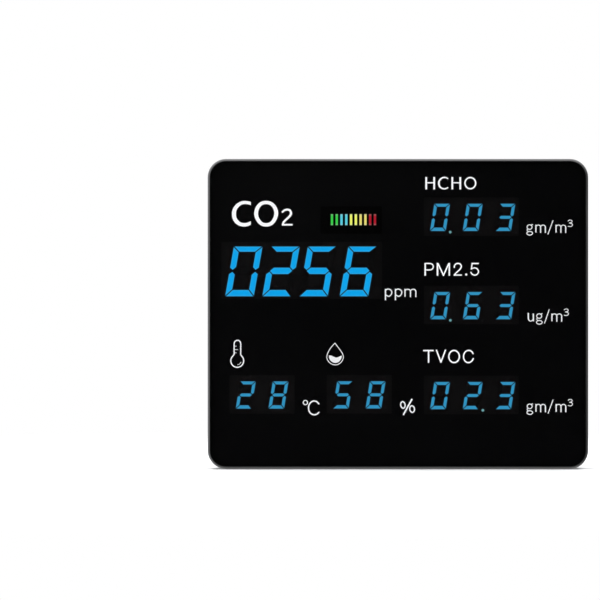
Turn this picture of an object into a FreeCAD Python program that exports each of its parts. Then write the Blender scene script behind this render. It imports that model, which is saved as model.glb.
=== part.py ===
import FreeCAD, Part
import math
import os

# Wall or desk air quality monitor. Millimetres.
# +Z is up, the display faces -Y, +X is to the right seen from the front.
# Origin: middle of the footprint, on the surface the monitor stands on.
# Names ending in _Y0 and _Y1 are the front and the back of a piece.
# A "box" of four numbers is x0, x1, z0, z1.

V = FreeCAD.Vector
os.makedirs("parts", exist_ok=True)

# ---------------------------------------------------------------- driving sizes
WIDTH = 270.0           # outside of the metal bezel
HEIGHT = 220.0
DEPTH = 30.0
CORNER_R = 13.0

BEZEL_WALL = 1.85       # the rim seen from the front
BEZEL_DEPTH = 13.0
FLANGE_REACH = 5.0      # flange inner edge, measured in from the outside
FLANGE_T = 1.2

PANEL_T = 3.0
PANEL_RECESS = 0.3
FILM_T = 0.2
FILM_GAP = 0.1
FILM_INSET = BEZEL_WALL + 0.4
TAPE_T = 0.4
TAPE_W = 4.0
TRAY_FLOOR_T = 1.8

MODULE_DEPTH = 9.0
SEGMENT_DEPTH = 4.0
BOARD_T = 1.6

SHELL_INSET = 0.8       # rear shell stands back from the bezel
SHELL_WALL = 2.2
SHELL_BACK_T = 2.4
SHELL_EDGE_R = 3.0
TONGUE_INSET = BEZEL_WALL + 0.15
TONGUE_T = 1.4

# screw places, as (x, z)
SHELL_SCREW_X = 125.5
SHELL_SCREW_Z = 13.0
SHELL_SCREWS = [(x, z) for z in (SHELL_SCREW_Z, HEIGHT - SHELL_SCREW_Z, HEIGHT / 2)
                for x in (-SHELL_SCREW_X, SHELL_SCREW_X)]
BOARD_SCREWS = [(x, z) for x in (-110.0, 3.0, 110.0) for z in (24.0, 92.0, 197.0)]

HINGE_Y, HINGE_Z = 11.7, 92.0
HINGE_PIN_R = 1.5

# ---------------------------------------------------------------- levels along Y, and side walls
Y_FRONT = -DEPTH / 2
Y_BACK = DEPTH / 2
PANEL_Y0 = Y_FRONT + PANEL_RECESS
PANEL_Y1 = PANEL_Y0 + PANEL_T
FILM_Y0 = PANEL_Y1 + FILM_GAP
FILM_Y1 = FILM_Y0 + FILM_T
TAPE_Y1 = FILM_Y1 + TAPE_T
TRAY_Y0 = TAPE_Y1
TRAY_Y1 = TRAY_Y0 + TRAY_FLOOR_T
FLANGE_Y0 = TRAY_Y1
FLANGE_Y1 = FLANGE_Y0 + FLANGE_T
MODULE_Y0 = FILM_Y1 + 0.2
MODULE_Y1 = MODULE_Y0 + MODULE_DEPTH
BOARD_Y0 = MODULE_Y1 + 0.2
BOARD_Y1 = BOARD_Y0 + BOARD_T
BEZEL_Y1 = Y_FRONT + BEZEL_DEPTH
SHELL_IN_Y = Y_BACK - SHELL_BACK_T       # inner face of the shell's back wall
X_OUT = WIDTH / 2 - SHELL_INSET          # outer face of the shell's right wall
X_IN = X_OUT - SHELL_WALL


# ---------------------------------------------------------------- helpers
def box(x0, x1, y0, y1, z0, z1):
    return Part.makeBox(x1 - x0, y1 - y0, z1 - z0, V(x0, y0, z0))


def rod_y(x, z, r, y0, y1):
    return Part.makeCylinder(r, y1 - y0, V(x, y0, z), V(0, 1, 0))


def rod_x(y, z, r, x0, x1):
    return Part.makeCylinder(r, x1 - x0, V(x0, y, z), V(1, 0, 0))


def rounded(u0, u1, v0, v1, r, at, run):
    """Rounded rectangle on a plane given by at(u, v), extruded along run."""
    k = r * (1 - math.sqrt(0.5))
    edges = [
        Part.LineSegment(at(u0 + r, v0), at(u1 - r, v0)),
        Part.Arc(at(u1 - r, v0), at(u1 - k, v0 + k), at(u1, v0 + r)),
        Part.LineSegment(at(u1, v0 + r), at(u1, v1 - r)),
        Part.Arc(at(u1, v1 - r), at(u1 - k, v1 - k), at(u1 - r, v1)),
        Part.LineSegment(at(u1 - r, v1), at(u0 + r, v1)),
        Part.Arc(at(u0 + r, v1), at(u0 + k, v1 - k), at(u0, v1 - r)),
        Part.LineSegment(at(u0, v1 - r), at(u0, v0 + r)),
        Part.Arc(at(u0, v0 + r), at(u0 + k, v0 + k), at(u0 + r, v0)),
    ]
    solid = Part.Face(Part.Wire([edge.toShape() for edge in edges])).extrude(run)
    if solid.Volume < 0:
        solid.reverse()
    return solid


def plate_y(x0, x1, z0, z1, r, y0, y1):
    """Rounded rectangle in XZ, extruded along Y."""
    return rounded(x0, x1, z0, z1, r, lambda u, v: V(u, y0, v), V(0, y1 - y0, 0))


def plate_x(y0, y1, z0, z1, r, x0, x1):
    """Rounded rectangle in YZ, extruded along X."""
    return rounded(y0, y1, z0, z1, r, lambda u, v: V(x0, u, v), V(x1 - x0, 0, 0))


def plate_z(x0, x1, y0, y1, r, z0, z1):
    """Rounded rectangle in XY, extruded along Z."""
    return rounded(x0, x1, y0, y1, r, lambda u, v: V(u, v, z0), V(0, 0, z1 - z0))


def inset(bounds, by):
    """The box drawn in by a distance on all sides; a negative one widens it."""
    x0, x1, z0, z1 = bounds
    return x0 + by, x1 - by, z0 + by, z1 - by


def outline(by, y0, y1):
    """The monitor's rounded outline, set in by a distance."""
    return plate_y(*inset((-WIDTH / 2, WIDTH / 2, 0.0, HEIGHT), by), CORNER_R - by, y0, y1)


def prism(points, y0, y1):
    """Polygon in XZ, extruded along Y."""
    corners = [V(x, y0, z) for x, z in points]
    return Part.Face(Part.makePolygon(corners + corners[:1])).extrude(V(0, y1 - y0, 0))


def edges_at_y(shape, y, tol=1e-4):
    return [e for e in shape.Edges if all(abs(v.Y - y) < tol for v in e.Vertexes)
            and abs(e.BoundBox.YMax - e.BoundBox.YMin) < tol]


def edges_at_x(shape, x, tol=1e-4):
    return [e for e in shape.Edges if all(abs(v.X - x) < tol for v in e.Vertexes)]


def soft_rod_y(x, z, r, y0, y1, edge_r):
    """Rod along Y with its back rim rounded."""
    rod = rod_y(x, z, r, y0, y1)
    return rod.makeFillet(edge_r, edges_at_y(rod, y1))


def fuse(pieces):
    return pieces[0].fuse(pieces[1:]).removeSplitter()


def screw(x, z, head_r, edge_r, seat_y, head_y, shank_r, tip_y, cross_y, cross_reach, cross_half):
    """Screw driven in from the back, with a cross recess whose floor is at cross_y."""
    body = soft_rod_y(x, z, head_r, seat_y, head_y, edge_r).fuse(
        rod_y(x, z, shank_r, tip_y, seat_y))
    for dx, dz in ((cross_reach, cross_half), (cross_half, cross_reach)):
        body = body.cut(box(x - dx, x + dx, cross_y, head_y + 1, z - dz, z + dz))
    return body


def save(name, *shapes):
    solids = [solid for shape in shapes for solid in shape.Solids]
    if not solids:
        raise RuntimeError(name + ": no solid")
    if not all(s.isValid() and s.isClosed() and s.Volume > 0 for s in solids):
        raise RuntimeError(name + ": bad solid")
    out = solids[0] if len(solids) == 1 else Part.makeCompound(solids)
    out.exportStep("parts/" + name + ".step")


# ---------------------------------------------------------------- display modules
# side, top, middle and foot are stroke widths; middle_z is the middle stroke's centre
BIG_DIGIT = {"width": 20.6, "height": 35.6, "side": 4.4, "top": 3.95, "middle": 4.8,
             "foot": 4.75, "middle_z": 18.2, "slant": 0.176, "gap": 0.42}
SMALL_DIGIT = {"width": 11.4, "height": 19.6, "side": 2.45, "top": 2.4, "middle": 2.4,
               "foot": 2.65, "middle_z": 9.85, "slant": 0.16, "gap": 0.34}
SMALL_DIGIT_PITCH = 23.2
SMALL_MODULE_W = {2: 47.1, 3: 68.2}      # by number of digits
POINT_R = 1.0
POINT_DX, POINT_DZ = 14.5, -0.65         # decimal point from a small digit's corner


def small_module(x, count, z, row_pins):
    """A row of small digits; x, z is the lower left corner of the left one."""
    x0 = x - 4.7
    return {"box": (x0, x0 + SMALL_MODULE_W[count], z - 3.8, z + 24.4),
            "digits": [x + SMALL_DIGIT_PITCH * i for i in range(count)],
            "z": z, "style": SMALL_DIGIT, "row_pins": row_pins}


# digits: x of each digit's lower left corner; z: the foot line of the digits
MODULES = {
    "co2": {"box": (-125.8, -10.8, 120.2, 161.6), "digits": [-122.85, -96.44, -70.30, -41.54],
            "z": 122.4, "style": BIG_DIGIT, "row_pins": 7},
    "hcho": small_module(22.7, 3, 168.8, 6),
    "pm": small_module(22.8, 3, 106.1, 6),
    "tvoc": small_module(22.7, 3, 42.2, 6),
    "temperature": small_module(-115.3, 2, 42.6, 5),
    "humidity": small_module(-46.3, 2, 42.7, 5),
}
LEVEL_BOX = (-55.3, -10.9, 166.6, 186.8)
BAR_COUNT = 10
BAR_X0, BAR_PITCH, BAR_W = -46.8, 3.393, 1.95      # BAR_X0 is the left bar's centre
BAR_Z0, BAR_Z1 = 172.95, 181.0
MODULE_BOXES = [module["box"] for module in MODULES.values()] + [LEVEL_BOX]


def segment_outlines(x, z, width, height, side, top, middle, foot, middle_z, slant, gap):
    """Polygons of segments a to g, leaning right by slant. x, z is the lower left corner."""
    def mitre(bar):
        """Setbacks along x and z that leave the gap at a mitred corner."""
        diagonal = math.hypot(side, bar)
        return gap / 2 * diagonal / bar, gap / 2 * diagonal / side

    top_dx, top_dz = mitre(top)
    foot_dx, foot_dz = mitre(foot)
    slope = 0.95                         # of the pointed stroke ends
    tip = gap * math.hypot(1, slope)     # rises from middle_z to the pointed ends
    inner = tip + slope * side / 2
    outer = tip + 0.75 * side / 2
    run = middle / 2 / slope
    left, right = side / 2, width - side / 2
    in_left, in_right = side, width - side
    m = middle_z
    upright = [
        # a, top
        [(top_dx, height), (width - top_dx, height),
         (in_right - top_dx, height - top), (in_left + top_dx, height - top)],
        # b, upper right
        [(width, height - top_dz), (width, m + outer), (right, m + tip),
         (in_right, m + inner), (in_right, height - top - top_dz)],
        # c, lower right
        [(width, foot_dz), (in_right, foot + foot_dz), (in_right, m - inner),
         (right, m - tip), (width, m - outer)],
        # d, foot
        [(foot_dx, 0), (in_left + foot_dx, foot), (in_right - foot_dx, foot),
         (width - foot_dx, 0)],
        # e, lower left
        [(0, foot_dz), (0, m - outer), (left, m - tip), (in_left, m - inner),
         (in_left, foot + foot_dz)],
        # f, upper left
        [(0, height - top_dz), (in_left, height - top - top_dz), (in_left, m + inner),
         (left, m + tip), (0, m + outer)],
        # g, middle
        [(left, m), (left + run, m + middle / 2), (right - run, m + middle / 2), (right, m),
         (right - run, m - middle / 2), (left + run, m - middle / 2)],
    ]
    return [[(x + px + slant * pz, z + pz) for px, pz in points] for points in upright]


def display_module(name, module):
    x0, x1, z0, z1 = module["box"]
    body = plate_y(x0, x1, z0, z1, 0.6, MODULE_Y0, MODULE_Y1)
    # the back is open for the potting between the pins
    body = body.cut(box(x0 + 1.2, x1 - 1.2, MODULE_Y1 - 1.0, MODULE_Y1 + 1, z0 + 5.0, z1 - 5.0))
    segments = []
    back_y = MODULE_Y0 + SEGMENT_DEPTH
    for digit_x in module["digits"]:
        for points in segment_outlines(digit_x, module["z"], **module["style"]):
            segments.append(prism(points, MODULE_Y0, back_y))
        if module["style"] is SMALL_DIGIT:
            segments.append(rod_y(digit_x + POINT_DX, module["z"] + POINT_DZ, POINT_R,
                                  MODULE_Y0, back_y))
    save(name + "_display_housing", body.cut(segments))
    save(name + "_display_segments", *segments)


def level_bar():
    bars = []
    for i in range(BAR_COUNT):
        x = BAR_X0 + i * BAR_PITCH
        bars.append(box(x - BAR_W / 2, x + BAR_W / 2, MODULE_Y0, MODULE_Y0 + SEGMENT_DEPTH,
                        BAR_Z0, BAR_Z1))
    save("level_bar_housing", plate_y(*LEVEL_BOX, 0.6, MODULE_Y0, MODULE_Y1).cut(bars))
    save("level_bar_segments", *bars)


def pin_rows(bounds, count, edge_z=3.0):
    """(x, z) of the pins in a row near the bottom and a row near the top of a module."""
    x0, x1, z0, z1 = bounds
    pitch = (x1 - x0 - 14) / (count - 1.0)
    return [(x0 + 7 + pitch * i, z) for i in range(count) for z in (z0 + edge_z, z1 - edge_z)]


for name, module in MODULES.items():
    display_module(name, module)
level_bar()

PIN_SPOTS = [spot for module in MODULES.values()
             for spot in pin_rows(module["box"], module["row_pins"])]
PIN_SPOTS += pin_rows(LEVEL_BOX, 6, edge_z=1.6)
save("display_pins", *[rod_y(x, z, 0.3, MODULE_Y1, BOARD_Y1 + 1.0) for x, z in PIN_SPOTS])


# ---------------------------------------------------------------- metal bezel
def trim_bezel():
    bezel = outline(0.0, Y_FRONT, BEZEL_Y1)
    bezel = bezel.makeFillet(1.5, edges_at_y(bezel, Y_FRONT))
    bezel = bezel.makeChamfer(0.3, edges_at_y(bezel, BEZEL_Y1))
    # hollow before, through and behind the flange
    bezel = bezel.cut(outline(BEZEL_WALL, Y_FRONT - 1, FLANGE_Y0))
    bezel = bezel.cut(outline(FLANGE_REACH, FLANGE_Y0 - 0.5, FLANGE_Y1 + 0.5))
    bezel = bezel.cut(outline(BEZEL_WALL, FLANGE_Y1, BEZEL_Y1 + 1))

    def on_opening(v):
        return (abs(abs(v.X) - (WIDTH / 2 - BEZEL_WALL)) < 0.01
                or abs(v.Z - BEZEL_WALL) < 0.01
                or abs(v.Z - (HEIGHT - BEZEL_WALL)) < 0.01)

    inner_edges = [e for e in edges_at_y(bezel, Y_FRONT) if all(map(on_opening, e.Vertexes))]
    return bezel.makeChamfer(0.25, inner_edges)


save("trim_bezel", trim_bezel())

# ---------------------------------------------------------------- front panel, film, tape
panel = outline(BEZEL_WALL + 0.1, PANEL_Y0, PANEL_Y1)
save("front_panel", panel.makeChamfer(0.3, edges_at_y(panel, PANEL_Y0)))

windows = [plate_y(*inset(bounds, 0.4), 0.8, FILM_Y0 - 1, FILM_Y1 + 1)
           for bounds in MODULE_BOXES]
save("printed_mask_film", outline(FILM_INSET, FILM_Y0, FILM_Y1).cut(windows))

save("panel_adhesive_frame", outline(FILM_INSET, FILM_Y1, TAPE_Y1).cut(
    outline(FILM_INSET + TAPE_W, FILM_Y1 - 1, TAPE_Y1 + 1)))


# ---------------------------------------------------------------- display tray
def display_tray():
    root_y = TRAY_Y1 - 0.5               # what stands on the floor starts inside it
    rib = outline(FLANGE_REACH + 0.3, root_y, TRAY_Y1 + 3.0).cut(
        outline(FLANGE_REACH + 1.6, root_y - 1.0, TRAY_Y1 + 4.0))
    adds = [outline(BEZEL_WALL + 0.2, TRAY_Y0, TRAY_Y1), rib]
    adds += [plate_y(*inset(bounds, -1.5), 1.5, root_y, TRAY_Y1 + 3.2)
             for bounds in MODULE_BOXES]
    adds += [rod_y(x, z, 3.0, root_y, BOARD_Y0) for x, z in BOARD_SCREWS]
    adds += [rod_y(x, z, 4.0, root_y, BOARD_Y0) for x, z in SHELL_SCREWS]
    cuts = [plate_y(*inset(bounds, -0.25), 0.8, TRAY_Y0 - 1, TRAY_Y1 + 5)
            for bounds in MODULE_BOXES]
    cuts += [rod_y(x, z, 1.1, TRAY_Y1 + 0.4, BOARD_Y0 + 1) for x, z in BOARD_SCREWS]
    cuts += [rod_y(x, z, 1.45, TRAY_Y1 + 0.4, BOARD_Y0 + 1) for x, z in SHELL_SCREWS]
    return fuse(adds).cut(cuts)


save("display_tray", display_tray())

# ---------------------------------------------------------------- main board
B = BOARD_Y1            # back face of the board, where its parts stand
LEG_PITCH = 1.27

board = plate_y(-120.0, 120.0, 15.0, 205.0, 3.0, BOARD_Y0, B)
holes = [rod_y(x, z, 1.5, BOARD_Y0 - 1, B + 1) for x, z in BOARD_SCREWS]
holes += [rod_y(x, z, 0.45, BOARD_Y0 - 1, B + 1) for x, z in PIN_SPOTS]
save("main_board", board.cut(holes))

save("board_screws", *[
    screw(x, z, head_r=2.4, edge_r=0.7, seat_y=B, head_y=B + 1.7, shank_r=1.05,
          tip_y=BOARD_Y0 - 5.5, cross_y=B + 0.8, cross_reach=1.4, cross_half=0.25)
    for x, z in BOARD_SCREWS])


def leg_centres(middle, length):
    count = int((length - 1.2) / LEG_PITCH)
    return [middle - (count - 1) * LEG_PITCH / 2 + i * LEG_PITCH for i in range(count)]


def chip(x, z, width, height, thick, four_sided=False):
    """Chip with legs left and right, and also above and below if four_sided."""
    dx, dz = width / 2, height / 2
    leg_half, leg_reach, leg_t = LEG_PITCH * 0.2, 1.0, 0.45
    pieces = [box(x - dx, x + dx, B + 0.15, B + thick, z - dz, z + dz)]
    for leg_z in leg_centres(z, height):
        pieces.append(box(x - dx - leg_reach, x + dx + leg_reach, B, B + leg_t,
                          leg_z - leg_half, leg_z + leg_half))
    for leg_x in leg_centres(x, width) if four_sided else []:
        pieces.append(box(leg_x - leg_half, leg_x + leg_half, B, B + leg_t,
                          z - dz - leg_reach, z + dz + leg_reach))
    return fuse(pieces)


save("microcontroller", chip(52.0, 146.0, 10.0, 10.0, 1.5, four_sided=True))
save("display_driver_chips",
     chip(-90.0, 90.0, 7.5, 15.4, 2.2),
     chip(-20.0, 104.0, 7.5, 15.4, 2.2),
     chip(60.0, 90.0, 7.5, 15.4, 2.2),
     chip(60.0, 75.0, 5.0, 6.2, 1.7))
save("board_capacitors", *[soft_rod_y(x, z, 4.0, B, B + 8.0, 0.6)
                           for x, z in ((84.0, 30.0), (95.0, 30.0), (84.0, 118.0))])
save("power_inductor", plate_y(93.0, 103.0, 45.0, 55.0, 1.5, B, B + 4.0))
save("alarm_buzzer", soft_rod_y(-60.0, 100.0, 6.0, B, B + 8.5, 0.6).cut(
    rod_y(-60.0, 100.0, 1.1, B + 5.0, B + 9.5)))

# ---------------------------------------------------------------- gas and climate sensors
CARRIER_Y0, CARRIER_Y1 = B + 1.2, B + 2.2      # small boards held off the main one
SENSOR_Y1 = B + 9.8
CO2_BOX = (-108.0, -76.0, 150.5, 170.5)
CO2_WINDOWS = [(-104.5, -94.5, 155.5, 165.5), (-89.5, -79.5, 155.5, 165.5)]
WINDOW_Y = B + 9.2
HCHO_X, TVOC_X, GAS_Z = -30.0, 12.0, 165.0
CELL_WELL_Y = B + 9.0
CAN_WELL_Y = B + 5.9

save("sensor_carrier_boards",
     plate_y(*inset(CO2_BOX, -1.0), 1.0, CARRIER_Y0, CARRIER_Y1),
     plate_y(-44.0, -16.0, 150.0, 180.0, 1.0, CARRIER_Y0, CARRIER_Y1))

# header pins, as (x of the rows, z of the pins)
HEADERS = [((-106.5, -77.5), (153.0, 157.0, 161.0, 165.0)),
           ((-42.0, -18.0), (153.0, 157.0, 161.0))]
save("sensor_header_pins", *[rod_y(x, z, 0.4, B, CARRIER_Y0)
                             for rows, heights in HEADERS for x in rows for z in heights])

# carbon dioxide sensor: optical cavity block
cavity = plate_y(*CO2_BOX, 2.0, CARRIER_Y1, SENSOR_Y1)
cavity = cavity.makeChamfer(0.8, edges_at_y(cavity, SENSOR_Y1))
save("co2_sensor_cavity", cavity.cut([plate_y(*bounds, 1.0, WINDOW_Y, B + 11)
                                      for bounds in CO2_WINDOWS]))
save("co2_sensor_filters", *[plate_y(*inset(bounds, 0.2), 0.9, WINDOW_Y, WINDOW_Y + 0.4)
                             for bounds in CO2_WINDOWS])

# formaldehyde sensor: electrochemical cell
save("hcho_sensor_cell", soft_rod_y(HCHO_X, GAS_Z, 9.5, CARRIER_Y1, SENSOR_Y1, 1.0).cut(
    rod_y(HCHO_X, GAS_Z, 4.0, CELL_WELL_Y, B + 11)))
save("hcho_sensor_membrane", rod_y(HCHO_X, GAS_Z, 3.9, CELL_WELL_Y, CELL_WELL_Y + 0.4))

# volatile organics sensor: metal can with a gauze top
can = fuse([soft_rod_y(TVOC_X, GAS_Z, 4.7, B, B + 6.5, 0.6),
            rod_y(TVOC_X, GAS_Z, 5.4, B, B + 0.8)])
save("tvoc_sensor_can", can.cut(rod_y(TVOC_X, GAS_Z, 3.2, CAN_WELL_Y, B + 7.5)))
save("tvoc_sensor_gauze", rod_y(TVOC_X, GAS_Z, 3.15, CAN_WELL_Y, CAN_WELL_Y + 0.3))

# temperature and humidity sensor: slotted plastic case
climate_slots = [plate_y(-102.0, -91.0, 21.0 + i * 4.2, 23.2 + i * 4.2, 0.8, B + 4.5, B + 9.0)
                 for i in range(4)]
save("temperature_humidity_sensor",
     plate_y(-104.0, -89.0, 18.5, 38.5, 1.0, B, B + 7.5).cut(climate_slots))

# ---------------------------------------------------------------- particle sensor and its fan
FAN_X, FAN_Z = 108.5, 157.0
CASE_BOX = (84.0, 124.0, 140.0, 188.0)
CASE_X1 = CASE_BOX[1]
CASE_Y0 = B + 0.6
CASE_Y1 = CASE_Y0 + 11.0
CASE_WALL = 1.2
CASE_FLOOR_Y = CASE_Y0 + CASE_WALL
BLADE_COUNT = 9


def fan_rod(r, y0, y1):
    """Cylinder on the fan's axis."""
    return rod_y(FAN_X, FAN_Z, r, y0, y1)


def particle_case():
    case = plate_y(*CASE_BOX, 2.0, CASE_Y0, CASE_Y1)
    case = case.cut(plate_y(*inset(CASE_BOX, CASE_WALL), 1.0, CASE_FLOOR_Y, CASE_Y1 + 1))
    duct = fan_rod(13.4, CASE_Y0 + 0.5, CASE_Y1 - 0.6).cut(
        fan_rod(12.2, CASE_Y0 + 0.4, CASE_Y1))
    duct = duct.cut(box(FAN_X, FAN_X + 20, CASE_FLOOR_Y, CASE_Y1 + 1, FAN_Z - 6, FAN_Z + 6))
    # slots in the right wall, beside the fan and above it
    slots = [box(CASE_X1 - 3, CASE_X1 + 3, CASE_Y0 + 2.4, CASE_Y1 - 2.0,
                 z + i * 3.4, z + 2.0 + i * 3.4)
             for z, count in ((FAN_Z - 5, 4), (174.0, 3)) for i in range(count)]
    return fuse([case, duct]).cut(slots)


def particle_lid():
    """Lid with a round opening crossed by two bars and a middle disc."""
    y0, y1 = CASE_Y1 - 2, CASE_Y1 + 3
    cross = fuse([box(FAN_X - 10, FAN_X + 10, y0, y1, FAN_Z - 0.8, FAN_Z + 0.8),
                  box(FAN_X - 0.8, FAN_X + 0.8, y0, y1, FAN_Z - 10, FAN_Z + 10),
                  fan_rod(3.4, y0, y1)])
    lid = plate_y(*CASE_BOX, 2.0, CASE_Y1, CASE_Y1 + 1.0)
    return lid.cut([fan_rod(9.0, CASE_Y1 - 1, CASE_Y1 + 2).cut(cross)])


def fan_impeller():
    pieces = [soft_rod_y(FAN_X, FAN_Z, 5.2, CASE_Y0 + 3.4, CASE_Y1 - 0.9, 0.6)]
    root_x = FAN_X + 4.6
    for i in range(BLADE_COUNT):
        blade = box(root_x, FAN_X + 11.4, CASE_Y0 + 3.6, CASE_Y1 - 1.2,
                    FAN_Z - 0.45, FAN_Z + 0.45)
        blade.rotate(V(root_x, 0, FAN_Z), V(0, 1, 0), 28)
        blade.rotate(V(FAN_X, 0, FAN_Z), V(0, 1, 0), i * 360.0 / BLADE_COUNT)
        pieces.append(blade)
    fan = fuse(pieces).common(fan_rod(11.2, CASE_Y0, CASE_Y1))
    return fan.cut(fan_rod(1.06, CASE_Y0, CASE_Y1 + 1))


def cable_wire(z0, z1):
    """One round wire from the sensor's connector at z0 to the board's at z1."""
    points = [V(77.0, B + 4.7, z0), V(75.2, B + 4.9, z0 - 0.2), V(72.0, B + 4.4, (z0 + z1) / 2),
              V(70.2, B + 3.2, z1 + 0.2), V(68.5, B + 3.0, z1)]
    curve = Part.BSplineCurve()
    curve.interpolate(points, InitialTangent=V(-1, 0, 0), FinalTangent=V(-1, 0, 0))
    ring = Part.Wire([Part.Circle(points[0], V(-1, 0, 0), 0.5).toShape()])
    return Part.Wire([curve.toShape()]).makePipeShell([ring], True, False)


save("particle_sensor_case", particle_case())
save("particle_sensor_lid", particle_lid())
save("particle_sensor_foam_pad", plate_y(87.0, 119.0, 143.0, 185.0, 1.0, B, CASE_Y0))
save("particle_fan_motor", fuse([fan_rod(4.6, CASE_FLOOR_Y, CASE_Y0 + 3.0),
                                 fan_rod(1.0, CASE_Y0 + 3.0, CASE_Y1 - 0.5)]))
save("particle_fan_impeller", fan_impeller())
save("particle_sensor_laser", rod_x(B + 6.5, 180.0, 3.0, 92.0, 104.0))
save("particle_sensor_optics_block", fuse([
    plate_y(90.0, 118.0, 173.2, 186.0, 1.0, CASE_FLOOR_Y, CASE_Y0 + 2.8),
    box(104.6, 114.0, CASE_Y0 + 2.8, CASE_Y1 - 2.6, 176.0, 184.4)]))
save("cable_connectors",
     box(77.0, 83.8, B + 2.5, B + 7.0, 165.0, 177.0),
     box(62.0, 68.5, B, B + 5.5, 151.0, 163.0))
save("sensor_cable", *[cable_wire(166.5 + i * 1.8, 152.5 + i * 1.8) for i in range(6)])

# ---------------------------------------------------------------- controls on the right side
SIDE_Y = 5.5            # centre line of the side controls
BUTTONS = {"set": 98.0, "up": 85.0, "down": 72.0}      # z of each centre
CAP_HALF_Y, CAP_HALF_Z = 2.15, 4.6
CAP_GAP = 0.2
SLIDER_Z = 51.0
SOCKET_Z = 30.0
SOCKET_FLOOR_X = X_IN - 10.0
X_FLUSH = WIDTH / 2     # the controls end level with the bezel


def side_plate(z, half_y, half_z, r, x0, x1):
    """Rounded plate across X, centred on the side controls' line."""
    return plate_x(SIDE_Y - half_y, SIDE_Y + half_y, z - half_z, z + half_z, r, x0, x1)


def switch_body(z):
    body = box(114.5, 121.5, B, SIDE_Y + 3.3, z - 3.3, z + 3.3)
    return body.cut(rod_x(SIDE_Y, z, 1.75, 118.0, 123.0))


def button(z):
    stem = rod_x(SIDE_Y, z, 1.6, 119.0, X_IN - 1.0)
    cap = side_plate(z, CAP_HALF_Y, CAP_HALF_Z, CAP_HALF_Y - 0.01, X_IN - 0.4, X_FLUSH)
    cap = cap.makeFillet(0.45, edges_at_x(cap, X_FLUSH))
    flange = side_plate(z, 3.2, 5.7, 3.1, X_IN - 1.5, X_IN - 0.3)
    return fuse([cap, flange, stem])


def power_slider():
    """Slider at the top of its travel, switched on, with three grip grooves."""
    knob_x = X_OUT - 0.9
    slider = fuse([
        box(122.6, knob_x, SIDE_Y - 1.25, SIDE_Y + 1.25, SLIDER_Z - 1.9, SLIDER_Z + 1.9),
        side_plate(SLIDER_Z, 2.2, 2.6, 0.6, knob_x, X_FLUSH)])
    return slider.cut([box(X_FLUSH - 0.4, X_FLUSH + 1, SIDE_Y - 3, SIDE_Y + 3, z - 0.3, z + 0.3)
                       for z in (SLIDER_Z - 1.3, SLIDER_Z, SLIDER_Z + 1.3)])


for name, z in BUTTONS.items():
    save(name + "_button", button(z))
save("tactile_switch_bodies", *[switch_body(z) for z in BUTTONS.values()])

save("power_switch_body",
     box(117.5, 126.5, B, SIDE_Y + 2.6, SLIDER_Z - 7.5, SLIDER_Z + 5.5).cut(
         box(122.0, 127.5, SIDE_Y - 1.4, SIDE_Y + 1.4, SLIDER_Z - 6.1, SLIDER_Z + 2.1)))
save("power_switch_slider", power_slider())

jack = plate_x(B, B + 11.0, SOCKET_Z - 4.5, SOCKET_Z + 4.5, 0.5, 117.0, X_IN - 0.6)
save("power_socket_housing", jack.cut(rod_x(SIDE_Y, SOCKET_Z, 3.15, SOCKET_FLOOR_X, X_IN + 1)))
pin = rod_x(SIDE_Y, SOCKET_Z, 1.05, SOCKET_FLOOR_X, X_IN - 1.4)
save("power_socket_pin", pin.makeFillet(0.4, edges_at_x(pin, X_IN - 1.4)))

# ---------------------------------------------------------------- rear shell
ROOT_Y = SHELL_IN_Y + 0.5      # what joins the back wall reaches into it
PAST_Y = Y_BACK + 1            # cuts run out beyond the back
PAST_X = WIDTH / 2 + 1
SCREW_SEAT_Y = 5.0

KEYHOLE_XS = (-65.0, 65.0)
KEYHOLE_Z = 176.0              # centre of the head opening
KEYHOLE_HEAD_R = 4.5
KEYHOLE_SLOT_R = 2.4
KEYHOLE_RISE = 8.0

# stand recess: a tub with a deeper trough at the hinge
TUB_X, TUB_T = 24.0, 1.8
TUB_FLOOR, TROUGH_FLOOR = 10.6, 8.2
TUB_Z0, TUB_Z1, TROUGH_Z0 = 3.0, 96.5, 86.0

VENT_H = 2.4
VENT_PITCH = 6.0
VENT_R = VENT_H / 2 - 0.01
VENT_Y0 = 4.2                  # vents in the top and bottom walls
BACK_VENTS = [                 # x0, x1, z of the lowest slot, number of slots
    (-44.0, -5.0, 122.0, 11), (5.0, 44.0, 122.0, 11),
    (-116.0, -80.0, 146.0, 6), (80.0, 116.0, 146.0, 6),
    (-116.0, -62.0, 28.0, 5), (62.0, 116.0, 28.0, 5),
]

PADS = [(-119.0, -95.0), (95.0, 119.0)]      # x0, x1
PAD_Y0, PAD_Y1 = 1.0, 9.0
PAD_TOP_Z = SHELL_INSET + 1.2
PAD_GAP = 0.15


def keyhole_box(x, half_x, over_z, r, y0, y1):
    return plate_y(x - half_x, x + half_x, KEYHOLE_Z - over_z,
                   KEYHOLE_Z + KEYHOLE_RISE + over_z, r, y0, y1)


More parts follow.
